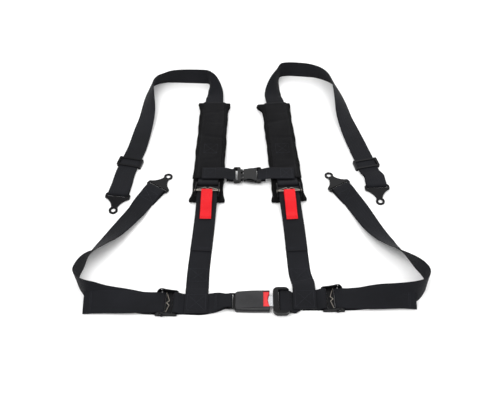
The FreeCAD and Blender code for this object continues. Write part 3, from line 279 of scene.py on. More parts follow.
class Ribbon:
    """A strap as closely spaced sections, with their distance along it."""

    def __init__(self, sections, thick):
        self.thick = thick
        for before, section in zip(sections, sections[1:]):
            if section.across.dot(before.across) < 0:
                section.across = -section.across
            if section.normal.dot(before.normal) < 0:
                section.normal = -section.normal
        centres = np.array([s.centre for s in sections])
        acrosses = np.array([s.across for s in sections])
        widths = np.array([[s.width] for s in sections])
        rows = np.hstack([centres, acrosses, widths])
        smooth = resampled(rows, centres)
        self.centres = smooth[:, :3]
        self.acrosses = smooth[:, 3:6] / np.linalg.norm(smooth[:, 3:6], axis=1, keepdims=True)
        self.widths = smooth[:, 6]
        tangents = np.gradient(self.centres, axis=0)
        tangents /= np.linalg.norm(tangents, axis=1, keepdims=True)
        normals = np.cross(self.acrosses, tangents)
        normals /= np.linalg.norm(normals, axis=1, keepdims=True)
        if np.dot(normals[0], np.array(sections[0].normal)) < 0:
            normals = -normals
        self.normals = normals
        steps = np.linalg.norm(np.diff(self.centres, axis=0), axis=1)
        self.distances = np.concatenate([[0], np.cumsum(steps)])

    @property
    def length(self):
        return self.distances[-1]

    def near(self, x, y, z):
        """The distance along the strap of the section nearest to a point."""
        return self.distances[np.argmin(np.linalg.norm(self.centres - np.array([x, y, z]), axis=1))]

    def point(self, distance, sideways, lift, face):
        """A point on one face of the strap, with the way out of that face."""
        place = np.interp(distance, self.distances, np.arange(len(self.distances)))
        low = min(int(place), len(self.distances) - 2)
        part = place - low
        centre, across, normal = (
            values[low] * (1 - part) + values[low + 1] * part
            for values in (self.centres, self.acrosses, self.normals))
        out = normal * face
        return centre + across * sideways + out * (self.thick / 2 + lift), out


# ---------------------------------------------------------------- meshes

def make_mesh(name, vertices, faces, material, uvs=None):
    """An object from points in millimetres, with one (u, v) per point if given."""
    mesh = bpy.data.meshes.new(name)
    mesh.from_pydata([tuple(float(c) * MM for c in v) for v in vertices], [], faces)
    mesh.update()
    if uvs is not None:
        layer = mesh.uv_layers.new(name="UVMap")
        indices = np.zeros(len(mesh.loops), dtype=np.int32)
        mesh.loops.foreach_get("vertex_index", indices)
        layer.data.foreach_set("uv", (np.array(uvs)[indices] * MM).astype(np.float32).ravel())
    mesh.polygons.foreach_set("use_smooth", [True] * len(mesh.polygons))
    mesh.materials.append(material)
    piece = bpy.data.objects.new(name, mesh)
    bpy.context.scene.collection.objects.link(piece)
    return piece


# The webbing's thin edge: its width, its thickness where it starts as a share of the full
# thickness, and half the thickness of its rim as a share of the same.
SELVAGE = 0.7
SELVAGE_SHARE = 0.86
RIM_SHARE = 0.22
PROFILE_STEPS = 12


def webbing_profile(width, thick):
    """Points round a strap's cross-section, with a slightly thinner, rounded selvage."""
    inner = width / 2 - SELVAGE
    across = [-inner + 2 * inner * step / PROFILE_STEPS for step in range(PROFILE_STEPS + 1)]
    upper = [(v, thick / 2 * (1.0 if abs(v) < inner - 0.1 else SELVAGE_SHARE)) for v in across]
    lower = [(v, -w) for v, w in reversed(upper)]
    rim = thick * RIM_SHARE
    right_edge = [(width / 2, rim), (width / 2, -rim)]
    left_edge = [(-width / 2, -rim), (-width / 2, rim)]
    return upper + right_edge + lower + left_edge


def webbing_mesh(name, ribbon, material):
    """A strap's surface, with u across it and v along it."""
    vertices, uvs, faces = [], [], []
    ring = len(webbing_profile(WIDTH, THICK))
    for index in range(len(ribbon.centres)):
        profile = webbing_profile(ribbon.widths[index], ribbon.thick)
        for v, w in profile:
            point = ribbon.centres[index] + ribbon.acrosses[index] * v + ribbon.normals[index] * w
            point[2] = max(point[2], FLOOR_GAP)
            vertices.append(point)
            uvs.append((v, ribbon.distances[index]))
    for index in range(len(ribbon.centres) - 1):
        for step in range(ring):
            a = index * ring + step
            b = index * ring + (step + 1) % ring
            faces.append((a, b, b + ring, a + ring))
    faces.append(tuple(range(ring)))
    last = (len(ribbon.centres) - 1) * ring
    faces.append(tuple(last + step for step in reversed(range(ring))))
    return make_mesh(name, vertices, faces, material, uvs)


STITCH_LENGTH = 2.5
STITCH_PITCH = 3.3
STITCH_RADIUS = 0.34
STITCH_LIFT = 0.12
PAD_STITCH_LIFT = 0.15
# Sewn boxes, as length along the strap and half width.
JUNCTION_BOX = (40, 20)
UPPER_BOX = (34, 19)
BRACKET_BOX = (24, 20)
CHEST_BOX = (28, 15)
TAB_BOX = (14, 11)
PAD_BOX = (34, 17)


class Thread:
    """Stitches collected for one piece: each is a short bead of thread lying on a surface."""

    RINGS = ((-0.5, 0.35), (-0.3, 0.85), (0.0, 1.0), (0.3, 0.85), (0.5, 0.35))
    SIDES = 6

    def __init__(self):
        self.vertices = []
        self.faces = []

    def stitch(self, start, end, out):
        along = end - start
        length = np.linalg.norm(along)
        along = along / length
        beside = np.cross(out, along)
        middle = (start + end) / 2
        first = len(self.vertices)
        for place, girth in self.RINGS:
            for side in range(self.SIDES):
                angle = 2 * math.pi * side / self.SIDES
                radius = STITCH_RADIUS * girth
                offset = beside * (radius * math.cos(angle)) + out * (radius * math.sin(angle))
                self.vertices.append(middle + along * (length * place) + offset)
        for ring in range(len(self.RINGS) - 1):
            for side in range(self.SIDES):
                a = first + ring * self.SIDES + side
                b = first + ring * self.SIDES + (side + 1) % self.SIDES
                self.faces.append((a, b, b + self.SIDES, a + self.SIDES))
        end_ring = first + (len(self.RINGS) - 1) * self.SIDES
        self.faces.append(tuple(first + side for side in reversed(range(self.SIDES))))
        self.faces.append(tuple(end_ring + side for side in range(self.SIDES)))

    def line(self, surface, start, end):
        """Stitches between two (distance, sideways) places on a surface."""
        start, end = np.array(start, float), np.array(end, float)
        count = max(1, round(np.linalg.norm(end - start) / STITCH_PITCH))
        share = STITCH_LENGTH / STITCH_PITCH / 2
        for index in range(count):
            middle = (index + 0.5) / count
            a, _ = surface(*(start + (end - start) * (middle - share / count)))
            b, _ = surface(*(start + (end - start) * (middle + share / count)))
            _, out = surface(*(start + (end - start) * middle))
            self.stitch(a, b, out)

    def box(self, surface, distance, length, half):
        """A sewn box, with a cross inside it."""
        low, high = distance - length / 2, distance + length / 2
        corners = [(low, -half), (high, -half), (high, half), (low, half)]
        for start, end in zip(corners, corners[1:] + corners[:1]):
            self.line(surface, start, end)
        self.line(surface, corners[0], corners[2])
        self.line(surface, corners[1], corners[3])

    def finish(self, name, material, body):
        piece = make_mesh(name, self.vertices, self.faces, material)
        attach(piece, body)
        return piece


def upper_face(ribbon, distance):
    """A function from (distance, sideways) to a point on the face that looks up at one place."""
    index = int(np.argmin(np.abs(ribbon.distances - distance)))
    sign = 1 if ribbon.normals[index][2] > 0 else -1

    def surface(along, sideways):
        return ribbon.point(along, sideways, STITCH_LIFT, sign)

    return surface


# ---------------------------------------------------------------- materials

def colour(hex_code):
    """A web colour as linear red, green, blue and alpha."""
    values = [int(hex_code[i:i + 2], 16) / 255 for i in (1, 3, 5)]
    return [v / 12.92 if v <= 0.04045 else ((v + 0.055) / 1.055) ** 2.4 for v in values] + [1.0]


class Nodes:
    """Short ways to add and wire shader nodes in one material."""

    def __init__(self, name):
        self.material = bpy.data.materials.new(name)
        self.material.use_nodes = True
        self.tree = self.material.node_tree
        self.shader = self.tree.nodes["Principled BSDF"]

    def add(self, kind, **values):
        node = self.tree.nodes.new(kind)
        for key, value in values.items():
            setattr(node, key, value)
        return node

    def link(self, source, target):
        self.tree.links.new(source, target)

    def value(self, **sockets):
        for name, value in sockets.items():
            self.shader.inputs[name.replace("_", " ")].default_value = value

    def maths(self, operation, first, second=None):
        node = self.add("ShaderNodeMath", operation=operation)
        for socket, source in zip(node.inputs, (first, second)):
            if source is None:
                continue
            if isinstance(source, (int, float)):
                socket.default_value = source
            else:
                self.link(source, socket)
        return node.outputs[0]

    def noise(self, scale, detail=4.0, roughness=0.6, coordinates=None):
        node = self.add("ShaderNodeTexNoise")
        node.inputs["Scale"].default_value = scale
        node.inputs["Detail"].default_value = detail
        node.inputs["Roughness"].default_value = roughness
        if coordinates is None:
            coordinates = self.add("ShaderNodeTexCoord").outputs["Object"]
        self.link(coordinates, node.inputs["Vector"])
        return node.outputs["Fac"]

    def ramp(self, source, stops):
        node = self.add("ShaderNodeValToRGB")
        elements = node.color_ramp.elements
        while len(elements) < len(stops):
            elements.new(0.5)
        for element, (position, shade) in zip(elements, stops):
            element.position = position
            element.color = shade
        self.link(source, node.inputs["Fac"])
        return node.outputs["Color"]

    def bump(self, height, distance, strength, under=None):
        node = self.add("ShaderNodeBump")
        node.inputs["Distance"].default_value = distance
        node.inputs["Strength"].default_value = strength
        self.link(height, node.inputs["Height"])
        if under is not None:
            self.link(under, node.inputs["Normal"])
        self.link(node.outputs["Normal"], self.shader.inputs["Normal"])
        return node.outputs["Normal"]


# The width of a herringbone panel and the pitch of the yarns, in metres.
WEBBING_PANEL = 0.0034
WEBBING_YARN = 0.0017
CLOTH_YARN = 0.0011


def webbing_material(name, dark, light, roughness, sheen):
    """Seat-belt weave: ribs along the strap, crossed by a herringbone of yarns."""
    nodes = Nodes(name)
    uv = nodes.add("ShaderNodeUVMap", uv_map="UVMap").outputs["UV"]
    split = nodes.add("ShaderNodeSeparateXYZ")
    nodes.link(uv, split.inputs[0])
    across, along = split.outputs["X"], split.outputs["Y"]
    panel = nodes.maths("PINGPONG", across, WEBBING_PANEL)
    slant = nodes.maths("ADD", along, nodes.maths("MULTIPLY", panel, 0.9))
    yarn = nodes.maths("SINE", nodes.maths("MULTIPLY", slant, 2 * math.pi / WEBBING_YARN))
    rib = nodes.maths("SINE", nodes.maths("MULTIPLY", across, 2 * math.pi / WEBBING_YARN))
    weave = nodes.maths("ADD", nodes.maths("MULTIPLY", yarn, 0.6), nodes.maths("MULTIPLY", rib, 0.4))
    fuzz = nodes.noise(900.0, 2.0)
    height = nodes.maths("ADD", weave, nodes.maths("MULTIPLY", fuzz, 0.5))
    wear = nodes.noise(9.0, 5.0)
    tone = nodes.maths("ADD", nodes.maths("MULTIPLY", weave, 0.12), wear)
    nodes.link(nodes.ramp(tone, [(0.3, colour(dark)), (0.75, colour(light))]),
               nodes.shader.inputs["Base Color"])
    nodes.value(Roughness=roughness, Sheen_Weight=sheen, Sheen_Roughness=0.5, Specular_IOR_Level=0.16)
    nodes.bump(height, 0.00022, 0.7)
    return nodes.material


def cloth_material(name, dark, light):
    """Brushed pad fabric: a fine plain weave with soft creases and lint."""
    nodes = Nodes(name)
    position = nodes.add("ShaderNodeTexCoord").outputs["Object"]
    split = nodes.add("ShaderNodeSeparateXYZ")
    nodes.link(position, split.inputs[0])
    warp = nodes.maths("SINE", nodes.maths("MULTIPLY", split.outputs["X"], 2 * math.pi / CLOTH_YARN))
    weft = nodes.maths("SINE", nodes.maths("MULTIPLY", split.outputs["Y"], 2 * math.pi / CLOTH_YARN))
    weave = nodes.maths("MULTIPLY", warp, weft)
    fuzz = nodes.noise(700.0, 3.0)
    height = nodes.maths("ADD", nodes.maths("MULTIPLY", weave, 0.6), fuzz)
    crease = nodes.noise(38.0, 4.0, 0.55)
    tone = nodes.noise(14.0, 5.0)
    nodes.link(nodes.ramp(tone, [(0.3, colour(dark)), (0.8, colour(light))]),
               nodes.shader.inputs["Base Color"])
    nodes.value(Roughness=0.88, Sheen_Weight=0.035, Sheen_Roughness=0.4, Specular_IOR_Level=0.12)
    soft = nodes.add("ShaderNodeBump")
    soft.inputs["Distance"].default_value = 0.0022
    soft.inputs["Strength"].default_value = 0.5
    nodes.link(crease, soft.inputs["Height"])
    nodes.bump(height, 0.0002, 0.7, soft.outputs["Normal"])
    return nodes.material


def coated_material(name, dark, light, roughness, gloss):
    """Powder coat or moulded plastic: fine grain, uneven sheen and lighter rubbed patches."""
    nodes = Nodes(name)
    grain = nodes.noise(420.0, 3.0)
    wear = nodes.noise(26.0, 6.0, 0.7)
    nodes.link(nodes.ramp(wear, [(0.35, colour(dark)), (0.8, colour(light))]),
               nodes.shader.inputs["Base Color"])
    sheen = nodes.maths("ADD", nodes.maths("MULTIPLY", wear, 0.16), roughness - 0.08)
    nodes.link(sheen, nodes.shader.inputs["Roughness"])
    nodes.value(Specular_IOR_Level=gloss)
    nodes.bump(grain, 0.00012, 0.6)
    return nodes.material


def steel_material(name, dark, light, roughness):
    """Plain steel with drawn streaks and a faint haze."""
    nodes = Nodes(name)
    mapping = nodes.add("ShaderNodeMapping")
    mapping.inputs["Scale"].default_value = (6.0, 90.0, 90.0)
    nodes.link(nodes.add("ShaderNodeTexCoord").outputs["Object"], mapping.inputs["Vector"])
    streak = nodes.noise(40.0, 4.0, 0.6, mapping.outputs["Vector"])
    nodes.link(nodes.ramp(streak, [(0.3, colour(dark)), (0.75, colour(light))]),
               nodes.shader.inputs["Base Color"])
    nodes.link(nodes.maths("ADD", nodes.maths("MULTIPLY", streak, 0.15), roughness),
               nodes.shader.inputs["Roughness"])
    nodes.value(Metallic=1.0)
    nodes.bump(streak, 0.00005, 0.4)
    return nodes.material


MATERIALS = {
    "black_webbing": webbing_material("black_webbing", "#0a0b0f", "#15161b", 0.78, 0.02),
    "red_webbing": webbing_material("red_webbing", "#c60a16", "#e0121e", 0.34, 0.04),
    "pad_fabric": cloth_material("pad_fabric", "#09090b", "#161618"),
    # pad_trim is a darker copy of the pad fabric: on the cover's flanks it is painted shade, and it also
    # colours the cushion.
    "pad_trim": cloth_material("pad_trim", "#020203", "#09090a"),
    "thread": cloth_material("thread", "#26272c", "#3a3b42"),
    "red_thread": cloth_material("red_thread", "#c81c26", "#e0303a"),
    "black_steel": coated_material("black_steel", "#08080a", "#121214", 0.36, 0.1),
    "black_plastic": coated_material("black_plastic", "#1a1a1c", "#28282a", 0.42, 0.3),
    "clip_plastic": coated_material("clip_plastic", "#070708", "#121214", 0.32, 0.18),
    "red_plastic": coated_material("red_plastic", "#c8262b", "#d93538", 0.4, 0.3),
    "spring_steel": steel_material("spring_steel", "#6f6a64", "#a39c93", 0.3),
    "bright_steel": steel_material("bright_steel", "#c9cbce", "#f2f3f5", 0.14),
}


DARK_PARTS = ("chest_clip_plug", "chest_clip_socket", "front_prong", "rear_prong", "tongue_handle",
              "buckle_frame")


def dress_frame():
    """Give every CAD part that stays in view its detailed material."""
    slots = {part["node"]: part["material_slot"] for part in frame["record"]["subparts"]}
    for name, node in frame["nodes"].items():
        slot = "clip_plastic" if name in DARK_PARTS else slots[name]
        node.data.materials.clear()
        node.data.materials.append(MATERIALS[slot])


# Rounds of dividing a moulding's mesh, and the longest edge that a round leaves whole, in metres.
DIVISIONS = 3
LONGEST_EDGE = 0.004
# The buckle's mouldings, in metres: where the covers taper, where their top is domed, and the scoop
# in the button's front.
TAPER_START_X = 0.012
TAPER_LENGTH = 0.045
DOME_START_Z = 0.0095
DOME_HEIGHT = 0.0115
COVER_HALF_WIDTH = 0.0218
BUTTON_HALF_WIDTH = 0.0135
SCOOP_START_X = 0.033
SCOOP_LENGTH = 0.0085
SCOOP_DEPTH = 0.0042


def unit(value):
    """A number held between 0 and 1."""
    return min(max(value, 0), 1)


def copy_of(name, suffix):
    """A free copy of a CAD part, to be shaped further."""
    source = frame["nodes"][name]
    piece = source.copy()
    piece.data = source.data.copy()
    piece.name = f"{name}_{suffix}"
    bpy.context.scene.collection.objects.link(piece)
    return piece


def reshaped(name, suffix, body, move):
    """A CAD part's finely divided copy, with every point moved by a rule."""
    piece = copy_of(name, suffix)
    mesh = bmesh.new()
    mesh.from_mesh(piece.data)
    for _ in range(DIVISIONS):
        long_edges = [edge for edge in mesh.edges if edge.calc_length() > LONGEST_EDGE]
        bmesh.ops.subdivide_edges(mesh, edges=long_edges, cuts=1, use_grid_fill=True)
    for vertex in mesh.verts:
        move(vertex.co)
    mesh.to_mesh(piece.data)
    mesh.free()
    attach(piece, body)
    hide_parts(name)


def moulding_rule(crown, taper, narrowing):
    """A domed top, lower and narrower towards the webbing end."""
    middle = BUCKLE_Y * MM

    def move(place):
        reach = unit((TAPER_START_X - place.x) / TAPER_LENGTH) ** 1.6
        rise = unit((place.z - DOME_START_Z) / DOME_HEIGHT)
        side = (place.y - middle) / COVER_HALF_WIDTH
        place.z -= rise * (crown * side * side + taper * reach)
        place.y = middle + (place.y - middle) * (1 - narrowing * reach)

    return move


def hollow_button(place):
    """The button's front edge, scooped where the tongue goes in."""
    side = min(abs(place.y - BUCKLE_Y * MM) / BUTTON_HALF_WIDTH, 1)
    front = unit((place.x - SCOOP_START_X) / SCOOP_LENGTH)
    place.x -= SCOOP_DEPTH * front * (1 - side ** 4)


def button_spring(name):
    """A copy of a button spring, riding with the harness in place of its CAD part."""
    piece = copy_of(name, "coil")
    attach(piece, "left_harness")
    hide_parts(name)
    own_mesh(piece)


# ---------------------------------------------------------------- straps

def strap(name, side, sections, body=None, material="black_webbing", thick=THICK):
    """Build a strap, let it ride and stand for its CAD part."""
    ribbon = Ribbon(sections, thick)
    piece = webbing_mesh(f"{name}_cloth", ribbon, MATERIALS[material])
    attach(piece, body or f"{side}_harness")
    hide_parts(name)
    middle_widths = (ribbon.widths[1:] + ribbon.widths[:-1]) / 2
    flat_area = float(middle_widths @ np.diff(ribbon.distances)) * MM * MM
    return ribbon


def shoulder_strap(side):
    adjuster = standing(SHOULDER_ADJUSTERS[side])
    bar = SEWN_BAR_PLACE
    sewn_end = [(bar + 38, -BAR_LOOP), (bar + 16, -BAR_LOOP), (bar + 4, -BAR_LOOP)]
    leaving = [(bar + 3, BAR_LOOP), (bar + 8, 2.0), (bar + 14, -1.4), (bar + 20, 0.2 + LAYER - BAR_LOOP)]
    lower_end = path_in_plane(adjuster, sewn_end + turn_round(bar, BAR_LOOP, 270, 90) + leaving)
    bracket = standing(BRACKETS[f"{side}_shoulder"])
    reach = [(-34, PLATE_LOOP - 1.9), (-16, PLATE_LOOP - 0.5), (-6, PLATE_LOOP)]
    back = [(-6, -PLATE_LOOP), (-16, -PLATE_LOOP + 0.25), (-34, -PLATE_LOOP + 1.2)]
    far_end = path_in_plane(bracket, reach + turn_round(0, PLATE_LOOP, 90, -90) + back)
    tail_height = 6.0 - LAYER
    tail = [(26, tail_height), (0, tail_height), (-32, tail_height), (-56, tail_height)]
    tail_end = path_in_plane(standing(GLIDES[side]), tail)
    run = on_side(side, free_run(SHOULDER_RUN[side]))
    return strap(f"{side}_shoulder_strap", side, lower_end + run + far_end + tail_end)


def lower_strap(side):
    adjuster = standing(SHOULDER_ADJUSTERS[side])
    over = [(-9, BAR_LOOP - 0.3), (0, BAR_LOOP)]
    under = [(0, -BAR_LOOP), (-9, -BAR_LOOP)]
    loop = path_in_plane(adjuster, over + turn_round(LOCK_PLACE, BAR_LOOP, 90, -90) + under)
    tail = on_side(side, free_run(LOWER_TAIL[side]))
    run = on_side(side, free_run(LOWER_RUN[side]))
    return strap(f"{side}_lower_strap", side, tail + loop + run)


def lap_strap(side):
    adjuster = standing(LAP_ADJUSTERS[side])
    over = [(-14, BAR_LOOP), (0, BAR_LOOP)]
    under = [(0, -BAR_LOOP), (-12, -BAR_LOOP + 0.3)]
    loop = path_in_plane(adjuster, over + turn_round(LOCK_PLACE, BAR_LOOP, 90, -90) + under)
    tail = on_side(side, free_run(LAP_TAIL[side]))
    run = on_side(side, free_run(LAP_RUN[side]))
    bracket = standing(BRACKETS[f"{side}_lap"])
    reach = [(-50, -PLATE_LOOP + LAYER + 0.6), (-34, PLATE_LOOP - 4.2), (-16, PLATE_LOOP - 0.6),
             (-6, PLATE_LOOP)]
    back = [(-6, -PLATE_LOOP), (-16, -PLATE_LOOP), (-34, -PLATE_LOOP), (-46, -PLATE_LOOP)]
    far_end = path_in_plane(bracket, reach + turn_round(0, PLATE_LOOP, 90, -90) + back)
    return strap(f"{side}_lap_strap", side, tail + loop + run + far_end)


def inner_lap_strap(side):
    adjuster = standing(LAP_ADJUSTERS[side])
    bar = SEWN_BAR_PLACE
    sewn = [(bar + 48, -BAR_LOOP), (bar + 16, -BAR_LOOP), (bar + 4, -BAR_LOOP)]
    leaving = [(bar + 3, BAR_LOOP), (bar + 8, 2.2), (bar + 13, -0.9), (bar + 17, LAYER - BAR_LOOP)]
    if side == "left":
        loop_place = standing_at(at(INNER_LOOP_X[side], BUCKLE_Y, BUCKLE_Z), 0)
        flat_reach, narrow = 70, 33.0
        top = [(-32, -4.6), (-20, 1.6), (-10, BAR_LOOP - 0.4)]
        under = [(-10, -BAR_LOOP), (-20, -6.4), (-32, -7.4), (-38, -7.6)]
    else:
        loop_place = standing_at(at(INNER_LOOP_X[side], BUCKLE_Y, HANDLE_BAR_Z), 180)
        flat_reach, narrow = 50, WIDTH
        top = [(-30, -3.7), (-24.5, -3.5), (-21, 0.2), (-17.5, 3.9), (-8, BAR_LOOP)]
        under = [(-8, -BAR_LOOP), (-17, -BAR_LOOP), (-22, -5.0), (-31, -6.2)]
    outer = path_in_plane(adjuster, sewn + turn_round(bar, BAR_LOOP, 270, 90) + leaving
                          + [(bar + flat_reach, LAYER - BAR_LOOP)])
    inner = path_in_plane(loop_place, top + turn_round(0, BAR_LOOP, 90, -90) + under, narrow)
    if side == "left":
        for section in inner:
            reach = unit((INNER_LOOP_X[side] - section.centre.x - 10) / 26)
            section.width = narrow + (WIDTH - narrow) * reach
    return strap(f"{side}_inner_lap_strap", side, outer + inner)


CHEST_WIDTH = 38.0
CHEST_BAR_RADIUS = 2.0
COVER_THICK = 4.4
CHEST_PAD_TOP = COVER_Z + COVER_THICK + 0.3 + FLAT
CHEST_RISE = CHEST_PAD_TOP - CHEST_Z
# A chest strap, seen from its half of the clip: where it starts on the pad, how it comes down to
# the clip, as (along, up), and where its folded end stops.
CHEST_CLIP = {
    "left": {"at": at(-40.0, CHEST_Y, CHEST_Z), "turn": 0, "start": -81, "stop": -19,
             "down": [(-24, CHEST_RISE), (-15, 5.6), (-8, 3.2)]},
    "right": {"at": at(21.5, CHEST_Y, CHEST_Z), "turn": 180, "start": -90, "stop": -18,
              "down": [(-27, CHEST_RISE), (-18, 6.4), (-9, 3.4)]},
}


def chest_strap(side):
    clip = CHEST_CLIP[side]
    radius = CHEST_BAR_RADIUS + FLAT
    on_pad = [(clip["start"], CHEST_RISE), (clip["start"] + 40, CHEST_RISE)]
    back = [(-8, -radius), (clip["stop"], -radius)]
    points = on_pad + clip["down"] + turn_round(0, radius, 90, -90) + back
    return strap(f"{side}_chest_strap", side, path_in_plane(standing(clip), points, CHEST_WIDTH))


TAB_THICK = 1.4
TAB_PIN_X = 6.0
TAB_WIDTH = 27.0
TAB_PIN_Z = 9.8
TAB_PIN_RADIUS = 2.0
TAB_PIN_GAP = 0.45


def pull_tab(side):
    radius = TAB_PIN_RADIUS + TAB_PIN_GAP + TAB_THICK / 2
    angles = [math.radians(degrees) for degrees in range(-90, 101, 19)]
    loop = [(TAB_PIN_X + radius * math.cos(a), TAB_PIN_Z + radius * math.sin(a)) for a in angles]
    under = [(-24, -4.2), (-16, -3.5), (-6, -3.2), (2, -radius)]
    over = [(0, 2.4), (-10, 0.2), (-18, -1.3), (-26, -2.3), (-36, -5.6), (-47, -10.2), (-54, -11.9),
            (-60, -12.3), (-66, -13.0), (-71, -15.4)]
    points = [(u, TAB_PIN_Z + w) for u, w in under] + loop + [(u, TAB_PIN_Z + w) for u, w in over]
    sections = path_in_plane(standing(SHOULDER_ADJUSTERS[side]), points, TAB_WIDTH)
    name = f"{side}_pull_tab"
    return strap(name, side, sections, body=name, material="red_webbing", thick=TAB_THICK)


# ---------------------------------------------------------------- shoulder pads

PAD_HALF = 39.0
# How far each corner of a pad's far end flares, by side and hand.
FLARES = {("left", 1): 6.5, ("left", -1): 6.5, ("right", 1): 15.0, ("right", -1): 1.5}
# Heights of the cushion's two faces, and of the cover's upper face over its underside.
CUSHION_FLOOR = 0.3
CUSHION_TOP = 9.3
COVER_LOFT = 3.4
# Distances from a pad's middle line: its seams, the puffed edge and where the painted shade on the cover's
# flanks starts.
CUSHION_SEAM = 32.5
CUSHION_PUFF = 36.0
COVER_SEAM = 33.0
COVER_SHADE_START = 29.5
# The grid of a pad's mesh, and how many rows round off at each end.
ROW_SPACING = 3.2
COLUMNS = 30
ROUNDED_ROWS = 3


def bell(value, centre, spread):
    return math.exp(-((value - centre) / spread) ** 2)


def pad_edge(side, along, hand, seed):
    """Half width of a pad at a place along it, on its left (+1) or right (-1) hand."""
    length = PADS[side]["length"]
    flare = FLARES[side, hand] * bell(along, length - 11, 13) + 5.0 * bell(along, 6, 13)
    ripple = 0.7 * math.sin(along / 17 + seed * 2.1) + 0.5 * math.sin(along / 7.3 + seed * 5.2 + hand)
    return PAD_HALF + flare + ripple


def creases(along, sideways, seed):
    """Soft wrinkles across a pad, deeper towards its middle."""
    height = 0.0
    for index in range(6):
        place = 30 + index * 61 + 17 * math.sin(seed * 3.7 + index * 2.3)
        slant = 0.22 * math.sin(seed + index * 1.9)
        depth = 1.0 + 0.5 * math.sin(index * 4.1 + seed)
        middle = 8 * math.sin(index * 2.7 + seed)
        height -= depth * bell(along, place + slant * sideways, 5.5) * bell(sideways, middle, 30)
    return height + 0.35 * math.sin(along / 23 + seed) * math.cos(sideways / 19)


def rounding_at_end(rows_from_end):
    """How full a pad is near its end: a quarter circle over its last few rows."""
    if rows_from_end >= ROUNDED_ROWS:
        return 1.0
    return (1 - (1 - rows_from_end / ROUNDED_ROWS) ** 2) ** 0.5


def pad_surface(side, start, end, floor, crown, seed):
    """A pad as rings of points: a crowned top and a nearly flat underside, pinched at the edge."""
    place = standing(PADS[side])
    rows = round((end - start) / ROW_SPACING)
    vertices, faces, uvs = [], [], []
    for row in range(rows + 1):
        share = row / rows
        along = start + (end - start) * share
        end_fade = rounding_at_end(min(share, 1 - share) * rows)
        for face in (1, -1):
            for column in range(COLUMNS + 1):
                s = (-1 + 2 * column / COLUMNS) * face
                hand = 1 if s > 0 else -1
                half = pad_edge(side, along, hand, seed)
                sideways = s * half
                low, high = floor(along, sideways, half), crown(along, sideways, half)
                middle = (low + high) / 2
                reach = (1 - abs(s) ** 9) ** 0.5 * max(end_fade, 0.12)
                height = middle + (high - middle) * reach if face > 0 else middle + (low - middle) * reach
                point = place @ at(along, sideways, 0)
                vertices.append((point.x, point.y, height))
                uvs.append((sideways, along))
    ring = 2 * (COLUMNS + 1)
    for row in range(rows):
        for step in range(ring):
            a = row * ring + step
            b = row * ring + (step + 1) % ring
            faces.append((a, a + ring, b + ring, b))
    faces.append(tuple(range(ring)))
    faces.append(tuple(rows * ring + step for step in reversed(range(ring))))
    return vertices, faces, uvs


def cushion(side, seed):
    length = PADS[side]["length"]

    def lift(along, sideways, half):
        """The corners of the far end curl up."""
        return 3.5 * bell(along, length, 16) * max(0, abs(sideways) / half - 0.75) * 4

    def floor(along, sideways, half):
        return CUSHION_FLOOR + 0.6 * lift(along, sideways, half)

    def crown(along, sideways, half):
        seam = -1.6 * bell(abs(sideways), CUSHION_SEAM, 1.6)
        puff = 1.2 * bell(abs(sideways), CUSHION_PUFF, 3.0)
        wrinkle = 0.5 * creases(along, sideways, seed)
        return CUSHION_TOP + seam + puff + wrinkle + lift(along, sideways, half)

    vertices, faces, uvs = pad_surface(side, 0, length, floor, crown, seed)
    piece = make_mesh(f"{side}_pad_cushion_cloth", vertices, faces, MATERIALS["pad_trim"], uvs)
    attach(piece, f"{side}_harness")
    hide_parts(f"{side}_pad_cushion")


def cover_height(sideways):
    """The sleeve's underside: over the webbing in the middle, down on the cushion at the edges."""
    share = unit((abs(sideways) - 26.0) / 8.0)
    drop = share * share * (3 - 2 * share)
    return 15.1 - 4.2 * drop


def cover_floor(along, sideways, half):
    return cover_height(sideways)


def cover_crown(seed):
    """A rule for the sleeve's upper face: a step over the webbing's edges, a seam and wrinkles."""

    def crown(along, sideways, half):
        strap_step = 0.6 * bell(abs(sideways), 24.0, 2.0) - 0.5 * bell(abs(sideways), 28.0, 2.2)
        seam = -0.7 * bell(abs(sideways), COVER_SEAM, 1.4)
        wrinkle = 1.2 * creases(along, sideways, seed)
        return cover_height(sideways) + COVER_LOFT + strap_step + seam + wrinkle

    return crown


def cover(side, seed):
    length = PADS[side]["length"]
    crown = cover_crown(seed)
    vertices, faces, uvs = pad_surface(side, COVER_START + 0.5, length - 3, cover_floor, crown, seed)
    piece = make_mesh(f"{side}_pad_cover_cloth", vertices, faces, MATERIALS["pad_fabric"], uvs)
    piece.data.materials.append(MATERIALS["pad_trim"])
    # Faces out on the cover's flanks take the darker pad_trim cloth: painted shade along both edges.
    for polygon in piece.data.polygons:
        reach = sum(abs(uvs[vertex][0]) for vertex in polygon.vertices) / len(polygon.vertices)
        polygon.material_index = 1 if reach > COVER_SHADE_START else 0
    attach(piece, f"{side}_harness")
    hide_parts(f"{side}_pad_cover")
    sew_pad(side, length, crown)


def sew_pad(side, length, crown):
    """The sleeve's side seams and end seam, and a crossed box over the webbing."""
    place = standing(PADS[side])
    upward = np.array([0.0, 0.0, 1.0])

    def surface(along, sideways):
        point = place @ at(along, sideways, 0)
        height = crown(along, sideways, PAD_HALF) + PAD_STITCH_LIFT
        return np.array([point.x, point.y, height]), upward

    thread = Thread()
    for hand in (-1, 1):
        thread.line(surface, (COVER_START + 4, hand * COVER_SEAM), (length - 8, hand * COVER_SEAM))
    thread.line(surface, (length - 9, -COVER_SEAM), (length - 9, COVER_SEAM))
    thread.box(surface, COVER_START + 105, *PAD_BOX)
    thread.finish(f"{side}_pad_stitching", MATERIALS["thread"], f"{side}_harness")


# ---------------------------------------------------------------- stitching on the straps

# Where each lower strap crosses its lap belt.
JUNCTIONS = {"left": (-115.0, -384.0), "right": (117.0, -376.0)}
# Where a row of stitches crosses each chest strap, between its pad and its clip.
CHEST_ROW_X = {"left": -60, "right": 42}
HEM_ROWS = (6, 9)
HEM_HALF = 23


